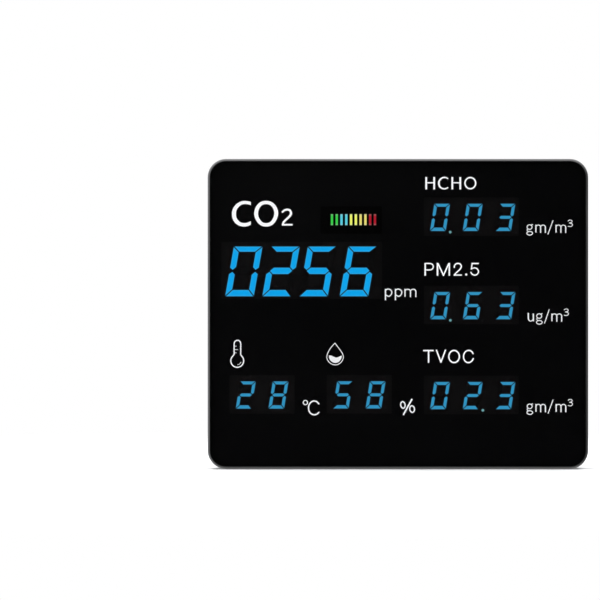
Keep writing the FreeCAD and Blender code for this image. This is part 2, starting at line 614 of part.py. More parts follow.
def shell_body():
    outer = outline(SHELL_INSET, BEZEL_Y1, Y_BACK)
    outer = outer.makeFillet(SHELL_EDGE_R, edges_at_y(outer, Y_BACK))
    inner = outline(SHELL_INSET + SHELL_WALL, BEZEL_Y1 - 1, SHELL_IN_Y)
    inner = inner.makeFillet(1.2, edges_at_y(inner, SHELL_IN_Y))
    tongue = outline(TONGUE_INSET, FLANGE_Y1 + 0.2, BEZEL_Y1 + 2.0).cut(
        outline(TONGUE_INSET + TONGUE_T, FLANGE_Y1 - 1, BEZEL_Y1 + 3.0))
    adds = [outer.cut(inner), tongue]
    # screw posts, each tied to the side wall by a web
    for x, z in SHELL_SCREWS:
        adds.append(rod_y(x, z, 4.0, BOARD_Y0, ROOT_Y))
        web_x0, web_x1 = sorted((x, math.copysign(X_IN + 0.5, x)))
        adds.append(box(web_x0, web_x1, 2.0, ROOT_Y, z - 0.8, z + 0.8))
    # outsides of the tub and the trough
    tub_x, tub_z = TUB_X + TUB_T, TUB_Z1 + TUB_T
    adds.append(box(-tub_x, tub_x, TUB_FLOOR - TUB_T, ROOT_Y, SHELL_INSET + 1.0, tub_z))
    adds.append(box(-tub_x, tub_x, TROUGH_FLOOR - TUB_T, ROOT_Y, TROUGH_Z0 - TUB_T, tub_z))
    # hinge pin blocks
    for side in (-1, 1):
        x0, x1 = sorted((side * (TUB_X + 0.5), side * (TUB_X + 5.0)))
        adds.append(box(x0, x1, HINGE_Y - 4.2, ROOT_Y, HINGE_Z - 4.0, HINGE_Z + 4.0))
    # closed boxes inside the keyholes
    for x in KEYHOLE_XS:
        adds.append(keyhole_box(x, 8.0, 7.5, 3.0, SHELL_IN_Y - 6.0, ROOT_Y))
    # vertical ribs on the back wall
    for x in (-52.0, 52.0):
        adds.append(box(x - 0.7, x + 0.7, SHELL_IN_Y - 2.0, ROOT_Y, 4.0, HEIGHT - 4.0))
    return fuse(adds)


def back_cuts():
    cuts = []
    for x, z in SHELL_SCREWS:
        cuts.append(rod_y(x, z, 1.7, BOARD_Y0 - 1, PAST_Y))
        cuts.append(rod_y(x, z, 3.2, SCREW_SEAT_Y, PAST_Y))
    cuts.append(plate_y(-TUB_X, TUB_X, TUB_Z0, TUB_Z1, 1.5, TUB_FLOOR, PAST_Y))
    cuts.append(box(-TUB_X, TUB_X, TROUGH_FLOOR, PAST_Y, TROUGH_Z0, TUB_Z1 - 0.8))
    cuts.append(rod_x(HINGE_Y, HINGE_Z, HINGE_PIN_R + 0.02, -TUB_X - 4.0, TUB_X + 4.0))
    # fingertip hollow in the tub floor, at the window in the stand
    cuts.append(plate_y(-9.0, 9.0, 12.0, 30.0, 4.0, TUB_FLOOR - 1.0, PAST_Y))
    # shallow field for a rating plate
    cuts.append(plate_y(-44.0, 44.0, 101.5, 116.5, 1.5, Y_BACK - 0.3, PAST_Y))
    for x in KEYHOLE_XS:
        cuts.append(keyhole_box(x, 6.6, 6.1, 2.0, SHELL_IN_Y - 4.6, SHELL_IN_Y))
        cuts.append(rod_y(x, KEYHOLE_Z, KEYHOLE_HEAD_R, SHELL_IN_Y - 1, PAST_Y))
        cuts.append(plate_y(x - KEYHOLE_SLOT_R, x + KEYHOLE_SLOT_R, KEYHOLE_Z,
                            KEYHOLE_Z + KEYHOLE_RISE + KEYHOLE_SLOT_R,
                            KEYHOLE_SLOT_R - 0.01, SHELL_IN_Y - 1, PAST_Y))
    for x0, x1, first_z, count in BACK_VENTS:
        for i in range(count):
            z = first_z + i * VENT_PITCH
            cuts.append(plate_y(x0, x1, z, z + VENT_H, VENT_R, SHELL_IN_Y - 3.5, PAST_Y))
    return cuts


def edge_wall_cuts():
    """Vents, control openings and pad recesses in the four narrow walls."""
    cuts = []
    for i in range(8):
        z = 142.0 + i * VENT_PITCH
        for x in (-PAST_X, X_IN - 2):
            cuts.append(plate_x(1.5, 9.5, z, z + VENT_H, VENT_R, x, x + 5.2))
    # top and bottom vents: first x, pitch, length, number, z0, z1
    for first_x, pitch, length, count, z0, z1 in (
            (-66.0, 11.4, 6.6, 12, HEIGHT - 5.0, HEIGHT + 1),
            (-88.0, 8.6, 6.0, 5, -1.0, 5.0),
            (47.6, 8.6, 6.0, 5, -1.0, 5.0)):
        for i in range(count):
            x = first_x + i * pitch
            cuts.append(plate_z(x, x + length, VENT_Y0, VENT_Y0 + VENT_H, VENT_R, z0, z1))
    half_y = CAP_HALF_Y + CAP_GAP
    for z in BUTTONS.values():
        cuts.append(side_plate(z, half_y, CAP_HALF_Z + CAP_GAP, half_y - 0.01,
                               X_IN - 1, PAST_X))
    # slider slot, and the wider recess around it
    cuts.append(side_plate(SLIDER_Z - 2.0, 1.6, 4.2, 0.4, X_IN - 1, PAST_X))
    cuts.append(side_plate(SLIDER_Z - 2.0, 2.6, 5.4, 1.0, X_OUT - 1.0, PAST_X))
    cuts.append(rod_x(SIDE_Y, SOCKET_Z, 4.6, X_IN - 1, PAST_X))
    for x0, x1 in PADS:
        cuts.append(plate_z(x0 - PAD_GAP, x1 + PAD_GAP, PAD_Y0 - PAD_GAP, PAD_Y1 + PAD_GAP,
                            1.0, -1.0, PAD_TOP_Z))
    return cuts


shell = shell_body().cut(back_cuts() + edge_wall_cuts())
# only the largest solid is the shell
save("rear_shell", max(shell.Solids, key=lambda solid: solid.Volume))

save("base_pads", *[plate_z(x0, x1, PAD_Y0, PAD_Y1, 0.9, 0.0, PAD_TOP_Z) for x0, x1 in PADS])

save("shell_screws", *[
    screw(x, z, head_r=2.8, edge_r=0.8, seat_y=SCREW_SEAT_Y, head_y=SCREW_SEAT_Y + 2.2,
          shank_r=1.4, tip_y=BOARD_Y0 - 6.0, cross_y=SCREW_SEAT_Y + 1.0, cross_reach=1.7,
          cross_half=0.3)
    for x, z in SHELL_SCREWS])

# ---------------------------------------------------------------- fold-out stand, folded in
STAND_HALF = 22.0
STAND_TIP_Z = 6.0
LEG_Y0, LEG_Y1 = 11.2, 14.4
PAD_SEAT_Y = LEG_Y0 + 2.2


def stand_leg():
    leg = plate_y(-STAND_HALF, STAND_HALF, STAND_TIP_Z, HINGE_Z - 1.0, 3.0, LEG_Y0, LEG_Y1)
    leg = leg.makeFillet(0.8, edges_at_y(leg, LEG_Y1))
    barrel_x = STAND_HALF - 0.4
    barrel = rod_x(HINGE_Y, HINGE_Z, 3.1, -barrel_x, barrel_x)
    web = box(-barrel_x, barrel_x, LEG_Y0, LEG_Y1, HINGE_Z - 6.0, HINGE_Z)
    # finger window
    cuts = [plate_y(-9.0, 9.0, STAND_TIP_Z + 9.0, STAND_TIP_Z + 20.0, 5.4,
                    LEG_Y0 - 1, LEG_Y1 + 1)]
    # pockets between ribs on the front face
    pocket_x = STAND_HALF - 3.0
    for x0, x1 in ((-pocket_x, -7.8), (-6.2, 6.2), (7.8, pocket_x)):
        cuts.append(plate_y(x0, x1, STAND_TIP_Z + 24.0, HINGE_Z - 8.0, 1.0,
                            LEG_Y0 - 1, LEG_Y0 + 1.6))
    cuts.append(rod_x(HINGE_Y, HINGE_Z, HINGE_PIN_R + 0.06, -STAND_HALF - 1, STAND_HALF + 1))
    # seat of the foot pad
    cuts.append(box(-15.0, 15.0, LEG_Y0 - 1, PAD_SEAT_Y, STAND_TIP_Z - 1.0, STAND_TIP_Z + 3.0))
    return fuse([leg, web, barrel]).cut(cuts)


save("stand_leg", stand_leg())
save("stand_foot_pad",
     box(-14.9, 14.9, LEG_Y0 - 0.3, PAD_SEAT_Y, STAND_TIP_Z - 0.6, STAND_TIP_Z + 2.9))
save("stand_hinge_pin", rod_x(HINGE_Y, HINGE_Z, HINGE_PIN_R, -TUB_X - 3.8, TUB_X + 3.8))
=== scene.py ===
"""A desktop air monitor: a smoked panel over lit digits, in a metal rim, with a shell and a stand.

The display faces -Y, X runs to the viewer's right and Z is up. Blender works in metres; lengths
in the tables and constants here are in millimetres, except those of the stage at the end.
"""
import math
from functools import cache, partial

import bmesh
import bpy
import numpy as np
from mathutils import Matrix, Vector
from mathutils.geometry import tessellate_polygon


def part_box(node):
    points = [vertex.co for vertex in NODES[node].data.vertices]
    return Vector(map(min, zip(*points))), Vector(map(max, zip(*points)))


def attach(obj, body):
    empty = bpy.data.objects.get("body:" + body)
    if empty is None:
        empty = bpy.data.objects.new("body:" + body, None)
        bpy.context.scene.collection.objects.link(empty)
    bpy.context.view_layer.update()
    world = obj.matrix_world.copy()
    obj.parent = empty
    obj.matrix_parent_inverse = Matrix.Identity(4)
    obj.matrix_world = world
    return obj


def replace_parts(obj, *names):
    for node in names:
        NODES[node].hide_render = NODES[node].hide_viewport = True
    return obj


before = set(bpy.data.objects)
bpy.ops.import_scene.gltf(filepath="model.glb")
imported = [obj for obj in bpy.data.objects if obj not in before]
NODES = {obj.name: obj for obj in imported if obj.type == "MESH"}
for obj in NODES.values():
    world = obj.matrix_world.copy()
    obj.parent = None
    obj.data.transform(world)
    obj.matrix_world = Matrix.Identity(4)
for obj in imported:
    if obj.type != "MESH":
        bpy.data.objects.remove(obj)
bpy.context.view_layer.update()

MM = 0.001
ROOT = "monitor"


def node_box(name):
    """Lowest and highest corner of a CAD node, in millimetres."""
    low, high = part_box(name)
    return [v / MM for v in low], [v / MM for v in high]


# ---- shader node toolkit
class Graph:
    """A shader node tree under construction."""

    def __init__(self, owner):
        owner.use_nodes = True
        self.tree = owner.node_tree
        self.tree.nodes.clear()

    def node(self, kind, inputs=None, **settings):
        node = self.tree.nodes.new(kind)
        for name, value in settings.items():
            setattr(node, name, value)
        for key, value in (inputs or {}).items():
            self.feed(node.inputs[key], value)
        return node

    def feed(self, socket, value):
        """Links an output to the socket or sets its value. A colour is RGB or one grey number."""
        if isinstance(value, bpy.types.NodeSocket):
            self.tree.links.new(value, socket)
        elif socket.type == "RGBA":
            color = value if hasattr(value, "__len__") else (value,) * 3
            socket.default_value = (*color, 1.0)
        else:
            socket.default_value = value

    def math(self, operation, a, b=0.0):
        return self.node("ShaderNodeMath", {0: a, 1: b}, operation=operation).outputs[0]

    def add(self, a, b):
        return self.math("ADD", a, b)

    def times(self, a, b):
        return self.math("MULTIPLY", a, b)

    def span(self, value, source=(0.3, 0.7), to=(0.0, 1.0), smooth=False):
        """Maps the source range, by default where most noise lies, onto another and clamps."""
        return self.node("ShaderNodeMapRange", {
            "Value": value, "From Min": source[0], "From Max": source[1],
            "To Min": to[0], "To Max": to[1]},
            clamp=True, interpolation_type="SMOOTHSTEP" if smooth else "LINEAR").outputs["Result"]

    def mix_shaders(self, factor, first, second):
        return self.node("ShaderNodeMixShader", {0: factor, 1: first, 2: second}).outputs[0]


class Texture(Graph):
    """A node material. Texture lengths are in millimetres of the object."""

    def __init__(self, name):
        self.material = bpy.data.materials.new(name)
        super().__init__(self.material)
        self.coord = self.node("ShaderNodeTexCoord").outputs["Object"]

    def math(self, operation, a, b=0.0):
        inputs = {0: a, 1: b, 2: 0.0}
        return self.node("ShaderNodeMath", inputs, operation=operation).outputs[0]

    def weigh(self, first, second, first_share):
        """Weighted mean of two values."""
        return self.add(self.times(first, first_share), self.times(second, 1.0 - first_share))

    def space(self, scale=(1, 1, 1), turn=(0, 0, 0), shift=(0, 0, 0)):
        """Object coordinates in millimetres, times a scale per axis."""
        return self.node("ShaderNodeMapping", {
            "Vector": self.coord, "Scale": tuple(1000.0 * s for s in scale),
            "Rotation": turn, "Location": shift}).outputs["Vector"]

    def noise(self, size=1.0, detail=3.0, rough=0.5, scale=(1, 1, 1), turn=(0, 0, 0),
              distortion=0.0):
        return self.node("ShaderNodeTexNoise", {
            "Vector": self.space(scale, turn), "Scale": 1.0 / size, "Detail": detail,
            "Roughness": rough, "Distortion": distortion}).outputs["Fac"]

    def cells(self, size, scale=(1, 1, 1), shift=(0, 0, 0), feature="F1", metric="EUCLIDEAN"):
        return self.node("ShaderNodeTexVoronoi", {
            "Vector": self.space(scale, shift=shift), "Scale": 1.0 / size},
            feature=feature, distance=metric).outputs["Distance"]

    def ramp(self, factor, low, high, stops=(0.3, 0.7)):
        node = self.node("ShaderNodeValToRGB", {"Fac": factor})
        for element, position, color in zip(node.color_ramp.elements, stops, (low, high)):
            element.position = position
            element.color = (*color, 1.0)
        return node.outputs["Color"]

    def blend(self, factor, first, second):
        return self.node("ShaderNodeMix", {0: factor, 6: first, 7: second},
                         data_type="RGBA", clamp_factor=True).outputs[2]

    def axis(self, which, vector=None):
        vector = self.space() if vector is None else vector
        return self.node("ShaderNodeSeparateXYZ", {"Vector": vector}).outputs[which]

    def geometry(self, output):
        return self.node("ShaderNodeNewGeometry").outputs[output]

    def bump(self, height, strength, depth):
        return self.node("ShaderNodeBump", {
            "Height": height, "Strength": strength, "Distance": depth * MM}).outputs["Normal"]

    def surface(self, shader):
        """Connects the finished shader and returns the material."""
        self.node("ShaderNodeOutputMaterial", {"Surface": shader})
        return self.material

    def finish(self, color, rough, metal=0.0, normal=None, spec=0.5, extra=None):
        """Ends the material in a principled surface; extra holds further inputs by name."""
        inputs = {"Base Color": color, "Roughness": rough, "Metallic": metal,
                  "Specular IOR Level": spec, **(extra or {})}
        if normal is not None:
            inputs["Normal"] = normal
        return self.surface(self.node("ShaderNodeBsdfPrincipled", inputs).outputs["BSDF"])


def grey(value, tint=(1.0, 1.0, 1.0)):
    return tuple(value * t for t in tint)


# ---- materials
def m_rim():
    """Satin drawn aluminium: the grain follows the rim and is slightly uneven."""
    tex = Texture("rim_metal")
    side = tex.span(tex.math("ABSOLUTE", tex.axis("X")), (125.0, 131.0), smooth=True)

    def grain_layer(along, across, detail):
        """Grain along X, changing to grain along Z on the rim's left and right sides."""
        level = tex.noise(detail=detail, rough=0.6, scale=(along, across, across))
        upright = tex.noise(detail=detail, rough=0.6, scale=(across, across, along))
        return tex.blend(side, level, upright)

    fine = grain_layer(along=0.02, across=9.0, detail=4)
    wide = grain_layer(along=0.012, across=2.2, detail=3)
    grain = tex.weigh(fine, wide, first_share=0.5)
    cloud = tex.noise(size=22.0, rough=0.55)
    fleck = tex.noise(size=0.35, detail=2)
    skin = tex.weigh(grain, fleck, first_share=0.8)
    color = tex.ramp(skin, grey(0.31, (0.99, 1.0, 1.02)), grey(0.49, (1.0, 1.0, 1.01)),
                     stops=(0.34, 0.66))
    rough = tex.add(tex.span(grain, to=(0.34, 0.44)),
                    tex.span(cloud, (0.35, 0.7), to=(-0.03, 0.05)))
    return tex.finish(color, rough, metal=1.0, normal=tex.bump(skin, strength=0.30, depth=0.015))


def m_panel():
    """Smoked acrylic: clear tinted body, polished outer face, the faintest wiping marks."""
    tex = Texture("smoked_acrylic")
    wipe = tex.noise(scale=(0.012, 1.0, 0.035), turn=(0, 0.5, 0))
    cloud = tex.noise(size=35.0)
    rough = tex.add(tex.span(cloud, (0.4, 0.7), to=(0.02, 0.055)),
                    tex.span(wipe, (0.55, 0.8), to=(0.0, 0.03)))
    tint = tex.ramp(tex.noise(size=60.0, detail=2), (0.842, 0.846, 0.855), (0.852, 0.855, 0.862))
    mirror = tex.node("ShaderNodeBsdfGlossy", {"Color": 1.0, "Roughness": rough})
    clear = tex.node("ShaderNodeBsdfTransparent", {"Color": tint})
    front = tex.math("SUBTRACT", 1.0, tex.geometry("Backfacing"))
    fresnel = tex.node("ShaderNodeFresnel", {"IOR": 1.49}).outputs[0]
    return tex.surface(tex.mix_shaders(tex.times(fresnel, front),
                                       clear.outputs[0], mirror.outputs[0]))


def m_film():
    tex = Texture("printed_black_film")
    grain = tex.noise(size=4.0)
    cloud = tex.noise(size=40.0, detail=2)
    color = tex.ramp(tex.weigh(grain, cloud, first_share=0.3),
                     (0.0023, 0.0022, 0.0025), (0.0029, 0.0027, 0.0032))
    return tex.finish(color, tex.span(cloud, to=(0.5, 0.6)), spec=0.10)


def plastic(name, dark, light, rough=(0.48, 0.62), size=0.32, strength=0.25, depth=0.03,
            spec=0.45, wear=0.0, cloud_size=25.0):
    """Moulded plastic: fine pits, soft flow variation and, with wear, dust on upward faces."""
    tex = Texture(name)
    pits = tex.cells(size, feature="SMOOTH_F1")
    fine = tex.noise(size=size * 0.45, detail=4, rough=0.6)
    skin = tex.weigh(pits, fine, first_share=0.6)
    flow = tex.noise(size=cloud_size, rough=0.55)
    color = tex.blend(tex.span(tex.weigh(flow, fine, first_share=0.7)), dark, light)
    mottle = tex.noise(size=1.7, detail=4, rough=0.65)
    color = tex.blend(tex.span(mottle, (0.36, 0.64)), [c * 0.84 for c in dark], color)
    if wear:
        upward = tex.span(tex.axis("Z", tex.geometry("Normal")), (0.55, 0.98), to=(0.0, wear))
        patches = tex.span(tex.noise(size=3.0, detail=4, rough=0.65), (0.38, 0.7))
        color = tex.blend(tex.times(upward, patches), color, (0.20, 0.195, 0.185))
    gloss = tex.span(tex.add(flow, tex.times(fine, 0.3)), (0.4, 0.9), to=rough)
    return tex.finish(color, gloss, normal=tex.bump(skin, strength, depth), spec=spec)


def metal(name, dark, light, rough, size, stretch=(1, 1, 1)):
    tex = Texture(name)
    grain = tex.noise(size=size, detail=4, rough=0.6, scale=stretch)
    cloud = tex.noise(size=6.0)
    color = tex.blend(tex.span(tex.weigh(grain, cloud, first_share=0.6), (0.35, 0.65)),
                      dark, light)
    return tex.finish(color, tex.span(grain, to=rough), metal=1.0,
                      normal=tex.bump(grain, strength=0.15, depth=0.01))


def m_led(name, color, strength, halo=None, ends=None):
    """Diffusing epoxy with a lamp behind it: dim at the wall, full over the face.
    halo tints the outer part of the face; ends = (low z, high z) pales the two ends of a bar."""
    tex = Texture(name)
    core = tex.node("ShaderNodeAttribute", attribute_name="glow").outputs["Fac"]
    filler = tex.noise(size=0.5, rough=0.6)
    patch = tex.noise(size=2.6, detail=2)
    fall = tex.math("MINIMUM", tex.span(core, (0.0, 0.55), to=(0.03, 0.95)),
                    tex.span(core, (0.55, 1.0), to=(0.95, 1.0)))
    level = tex.times(fall, tex.add(tex.span(filler, to=(0.965, 1.02)),
                                    tex.span(patch, to=(-0.03, 0.03))))
    tint = tex.blend(tex.span(core, (0.5, 0.8)), halo or color, color)
    if ends:
        fade_start, fade_end = 1.5, 0.4  # distances in from each end
        low, high = ends
        z = tex.axis("Z")
        tip = tex.math("MAXIMUM", tex.span(z, (low + fade_start, low + fade_end)),
                       tex.span(z, (high - fade_start, high - fade_end)))
        tint = tex.blend(tex.times(tip, 0.30), tint, (0.75, 0.8, 0.75))
    return tex.finish(grey(0.008), rough=0.42, spec=0.2,
                      normal=tex.bump(filler, strength=0.1, depth=0.02),
                      extra={"Emission Color": tint,
                             "Emission Strength": tex.times(level, strength)})


def m_led_off():
    tex = Texture("segment_epoxy_off")
    filler = tex.noise(size=0.5, rough=0.6)
    color = tex.ramp(filler, (0.0060, 0.0050, 0.0050), (0.0094, 0.0078, 0.0078))
    return tex.finish(color, tex.span(filler, to=(0.42, 0.52)), spec=0.15,
                      normal=tex.bump(filler, strength=0.1, depth=0.02))


def m_module(name, share):
    """Black display housing; share scales its colour and its shine."""
    tex = Texture(name)
    fine = tex.noise(size=0.3, detail=4, rough=0.6)
    cloud = tex.noise(size=14.0, detail=2)
    color = tex.blend(tex.span(tex.weigh(fine, cloud, first_share=0.4), (0.35, 0.65)),
                      [c * share for c in (0.0066, 0.0054, 0.0054)],
                      [c * share for c in (0.0104, 0.0084, 0.0084)])
    return tex.finish(color, tex.span(fine, to=(0.5, 0.62)), spec=0.15 * share,
                      normal=tex.bump(fine, strength=0.15, depth=0.02))


def m_ink(name, value, strength):
    """White screen ink with a painted glow standing in for the light on it; the screen's weave
    stays in its surface.
    """
    tex = Texture(name)
    grid = tex.space((1 / 0.16,) * 3)  # one weave period is 0.16 mm
    weave = tex.times(*(tex.math("SINE", tex.times(tex.axis(a, grid), 6.283)) for a in "XZ"))
    patch = tex.noise(size=1.6, rough=0.6)
    # level sets the painted glow: the ink's emission strength, which stands in for light falling on
    # the print
    level = tex.add(tex.span(patch, to=(0.955, 1.015)), tex.times(weave, 0.012))
    color = tex.blend(tex.span(patch), grey(value * 0.95, (1.0, 0.995, 0.985)), grey(value))
    # painted light: the ink is no lamp, and this emission stands in for the light on it
    return tex.finish(color, rough=0.6, normal=tex.bump(weave, strength=0.08, depth=0.01),
                      extra={"Emission Color": color,
                             "Emission Strength": tex.times(level, strength)})


def m_board(name, base, line):
    """Solder mask over copper tracks that run at right angles and forty-five degrees."""
    tex = Texture(name)
    flat = (1, 0.001, 1)  # keeps the pattern the same through the board

    def tracks(size, repeats, metric, shift=(0, 0, 0)):
        rings = tex.cells(size, scale=flat, shift=shift, metric=metric)
        wave = tex.math("FRACT", tex.times(rings, repeats))
        wave = tex.math("ABSOLUTE", tex.math("SUBTRACT", wave, 0.5))
        return tex.span(wave, (0.06, 0.12), to=(1.0, 0.0))

    lines = tex.math("MAXIMUM", tracks(size=17.0, repeats=9.0, metric="MANHATTAN"),
                     tracks(size=23.0, repeats=12.0, metric="CHEBYCHEV", shift=(7.3, 0, 2.1)))
    via = tex.span(tex.cells(size=5.2, scale=flat), (0.06, 0.085), to=(1.0, 0.0))
    cloud = tex.noise(size=30.0)
    mask = tex.blend(tex.span(cloud), base, [c * 1.25 for c in base])
    color = tex.blend(tex.times(lines, 0.8), mask, line)
    color = tex.blend(via, color, (0.35, 0.33, 0.28))
    return tex.finish(color, tex.span(cloud, to=(0.28, 0.4)),
                      normal=tex.bump(tex.add(lines, via), strength=0.35, depth=0.04),
                      extra={"Coat Weight": 0.3, "Coat Roughness": 0.1})


def m_gauze():
    tex = Texture("woven_gauze")
    grid = tex.space((1 / 0.32,) * 3)  # one wire every 0.32 mm
    waves = [tex.math("ABSOLUTE", tex.math("SINE", tex.times(tex.axis(a, grid), 3.1416)))
             for a in "XZ"]
    wire = tex.math("MAXIMUM", *(tex.span(wave, (0.55, 0.8)) for wave in waves))
    color = tex.blend(wire, (0.03, 0.03, 0.03), (0.5, 0.5, 0.49))
    return tex.finish(color, tex.span(wire, (0.0, 1.0), to=(0.6, 0.3)), metal=0.9,
                      normal=tex.bump(wire, strength=0.6, depth=0.08))


def m_fibre(name, dark, light, size, rough):
    tex = Texture(name)
    fibres = tex.math("MAXIMUM", *(
        tex.noise(size=size, detail=5, rough=0.7, scale=stretch, distortion=0.6)
        for stretch in ((1, 1, 0.25), (0.25, 1, 1))))
    return tex.finish(tex.blend(tex.span(fibres, (0.4, 0.75)), dark, light), rough, spec=0.2,
                      normal=tex.bump(fibres, strength=0.45, depth=0.08),
                      extra={"Sheen Weight": 0.2})


def m_rubber():
    tex = Texture("pad_rubber")
    rib_pitch = 1.2
    ribs = tex.math("ABSOLUTE", tex.math("SINE", tex.times(tex.axis("X"), 3.1416 / rib_pitch)))
    fine = tex.noise(size=0.2, detail=4, rough=0.7)
    dust = tex.span(tex.noise(size=2.0, detail=4, rough=0.65), (0.5, 0.8), to=(0.0, 0.35))
    clean = tex.blend(tex.span(fine), grey(0.010), grey(0.018))
    return tex.finish(tex.blend(dust, clean, (0.06, 0.058, 0.054)),
                      tex.span(fine, to=(0.72, 0.86)), spec=0.25,
                      normal=tex.bump(tex.weigh(ribs, fine, first_share=0.7),
                                      strength=0.4, depth=0.08))


def m_wire(name, color):
    tex = Texture(name)
    patch = tex.noise(size=0.8)
    return tex.finish(tex.blend(tex.span(patch), grey(0.85, color), color),
                      tex.span(patch, to=(0.38, 0.5)),
                      normal=tex.bump(patch, strength=0.1, depth=0.02))


BAR_ENDS = tuple(corner[2] for corner in node_box("level_bar_segments"))
# colour and strength of the level bar's lights, left to right
BAR_LIGHTS = {
    "bar_green": ((0.060, 0.98, 0.10), 0.90),
    "bar_cyan": ((0.13, 0.84, 1.0), 1.12),
    "bar_yellow": ((0.95, 1.0, 0.15), 1.40),
    "bar_amber": ((1.0, 0.86, 0.20), 1.24),
    "bar_red": ((1.0, 0.018, 0.05), 0.60),
}
WIRES = {
    "wire_red": (0.52, 0.02, 0.015),
    "wire_black": (0.015, 0.015, 0.016),
    "wire_yellow": (0.72, 0.50, 0.03),
    "wire_white": (0.70, 0.70, 0.68),
    "wire_green": (0.03, 0.30, 0.06),
    "wire_blue": (0.02, 0.09, 0.42),
}
MAKERS = {
    "rim": m_rim,
    # painted shade: a near-black finish on the aluminium rim's inner faces, darkening its inner
    # edge
    "rim_inner_shade": lambda: plastic("rim_inner_painted_shade", grey(0.006), grey(0.010), rough=(0.5, 0.62),
                               size=0.3, strength=0.12, depth=0.02, spec=0.2),
    "panel": m_panel,
    "film": m_film,
    "module": lambda: m_module("display_housing_black", share=1.0),
    "module_dark": lambda: m_module("bar_housing_black", share=0.12),
    "led_off": m_led_off,
    # painted light: the inks' strength is that of a glow standing in for the light on the print
    "ink": lambda: m_ink("legend_ink", value=0.86, strength=1.02),
    "ink_units": lambda: m_ink("unit_ink", value=0.82, strength=0.90),
    "blue_big": lambda: m_led("segment_blue_large", (0.001, 0.450, 1.0), strength=1.20,
                              halo=(0.045, 0.46, 0.86)),
    "blue_small": lambda: m_led("segment_blue_small", (0.05, 0.555, 1.0), strength=0.76,
                                halo=(0.09, 0.56, 0.95)),
    "point": lambda: m_led("decimal_point", (0.30, 0.72, 0.75), strength=0.75),
    "tray": lambda: plastic("tray_plastic", grey(0.010), grey(0.015)),
    "shell": lambda: plastic("shell_plastic", grey(0.020, (1, 1, 1.03)), grey(0.029, (1, 1, 1.02)),
                             rough=(0.46, 0.62), size=0.62, strength=0.55, depth=0.09, wear=0.16),
    "stand": lambda: plastic("stand_plastic", grey(0.018, (1, 1, 1.03)), grey(0.026, (1, 1, 1.02)),
                             rough=(0.44, 0.58), size=0.36, strength=0.36, depth=0.05, wear=0.10),
    "button": lambda: plastic("button_plastic", grey(0.050), grey(0.066), rough=(0.30, 0.46),
                              size=0.25, strength=0.15, depth=0.02, wear=0.06),
    "slider": lambda: plastic("slider_plastic", (0.42, 0.42, 0.41), (0.52, 0.52, 0.50),
                              rough=(0.34, 0.48), size=0.25, strength=0.15, depth=0.02),
    "socket": lambda: plastic("socket_plastic", grey(0.012), grey(0.018), rough=(0.3, 0.42),
                              size=0.3, strength=0.12, depth=0.02),
    "epoxy": lambda: plastic("chip_epoxy", grey(0.016), grey(0.023), rough=(0.42, 0.55),
                             size=0.22, strength=0.3, depth=0.02, cloud_size=6.0),
    "ivory": lambda: plastic("connector_nylon", (0.62, 0.60, 0.52), (0.72, 0.70, 0.62),
                             rough=(0.34, 0.48), size=0.3, strength=0.12, depth=0.02),
    "white_case": lambda: plastic("sensor_case_white", (0.66, 0.66, 0.64), (0.76, 0.76, 0.74),
                                  rough=(0.36, 0.5), size=0.3, strength=0.14, depth=0.02),
    "fan": lambda: plastic("fan_plastic", grey(0.020), grey(0.030), rough=(0.34, 0.48),
                           size=0.3, strength=0.12, depth=0.02),
    "foam": lambda: m_fibre("foam_tape", grey(0.015), grey(0.045), size=0.35, rough=0.9),
    "membrane": lambda: m_fibre("porous_membrane", grey(0.62), grey(0.84), size=0.22, rough=0.88),
    "zinc": lambda: metal("zinc_screw", grey(0.42, (1.0, 0.99, 0.95)),
                          grey(0.62, (1.0, 0.99, 0.96)), rough=(0.24, 0.4), size=0.35),
    "tin": lambda: metal("tinned_metal", grey(0.62), grey(0.78), rough=(0.14, 0.28), size=0.3),
    "steel": lambda: metal("pin_steel", grey(0.48), grey(0.60), rough=(0.2, 0.32), size=0.5,
                           stretch=(0.05, 6, 6)),
    "sheet": lambda: metal("sensor_sheet_metal", grey(0.50, (1, 1, 1.01)),
                           grey(0.64, (1, 1, 1.01)), rough=(0.26, 0.4), size=0.6,
                           stretch=(0.15, 1, 3.0)),
    "gold": lambda: metal("gold_plating", (0.72, 0.50, 0.20), (0.86, 0.64, 0.30),
                          rough=(0.2, 0.36), size=0.7),
    "brass": lambda: metal("laser_brass", (0.60, 0.42, 0.18), (0.74, 0.54, 0.26),
                           rough=(0.2, 0.34), size=0.4, stretch=(8, 0.3, 0.3)),
    "sleeve": lambda: plastic("capacitor_sleeve", (0.010, 0.012, 0.03), (0.014, 0.018, 0.045),
                              rough=(0.22, 0.32), size=0.6, strength=0.08, depth=0.02),
    "ferrite": lambda: plastic("ferrite_grey", grey(0.035), grey(0.055), rough=(0.5, 0.66),
                               size=0.3, strength=0.35, depth=0.03),
    "board": lambda: m_board("solder_mask", base=(0.012, 0.075, 0.030), line=(0.026, 0.13, 0.052)),
    "carrier": lambda: m_board("carrier_mask", base=(0.008, 0.030, 0.085),
                               line=(0.020, 0.060, 0.15)),
    "gauze": m_gauze,
    "rubber": m_rubber,
    **{key: partial(m_led, key, *light, ends=BAR_ENDS) for key, light in BAR_LIGHTS.items()},
    **{key: partial(m_wire, key, color) for key, color in WIRES.items()},
}


@cache
def material(key):
    """The material of a key in MAKERS, made when first asked for."""
    return MAKERS[key]()


DISPLAYS = ("co2", "hcho", "pm", "tvoc", "temperature", "humidity")
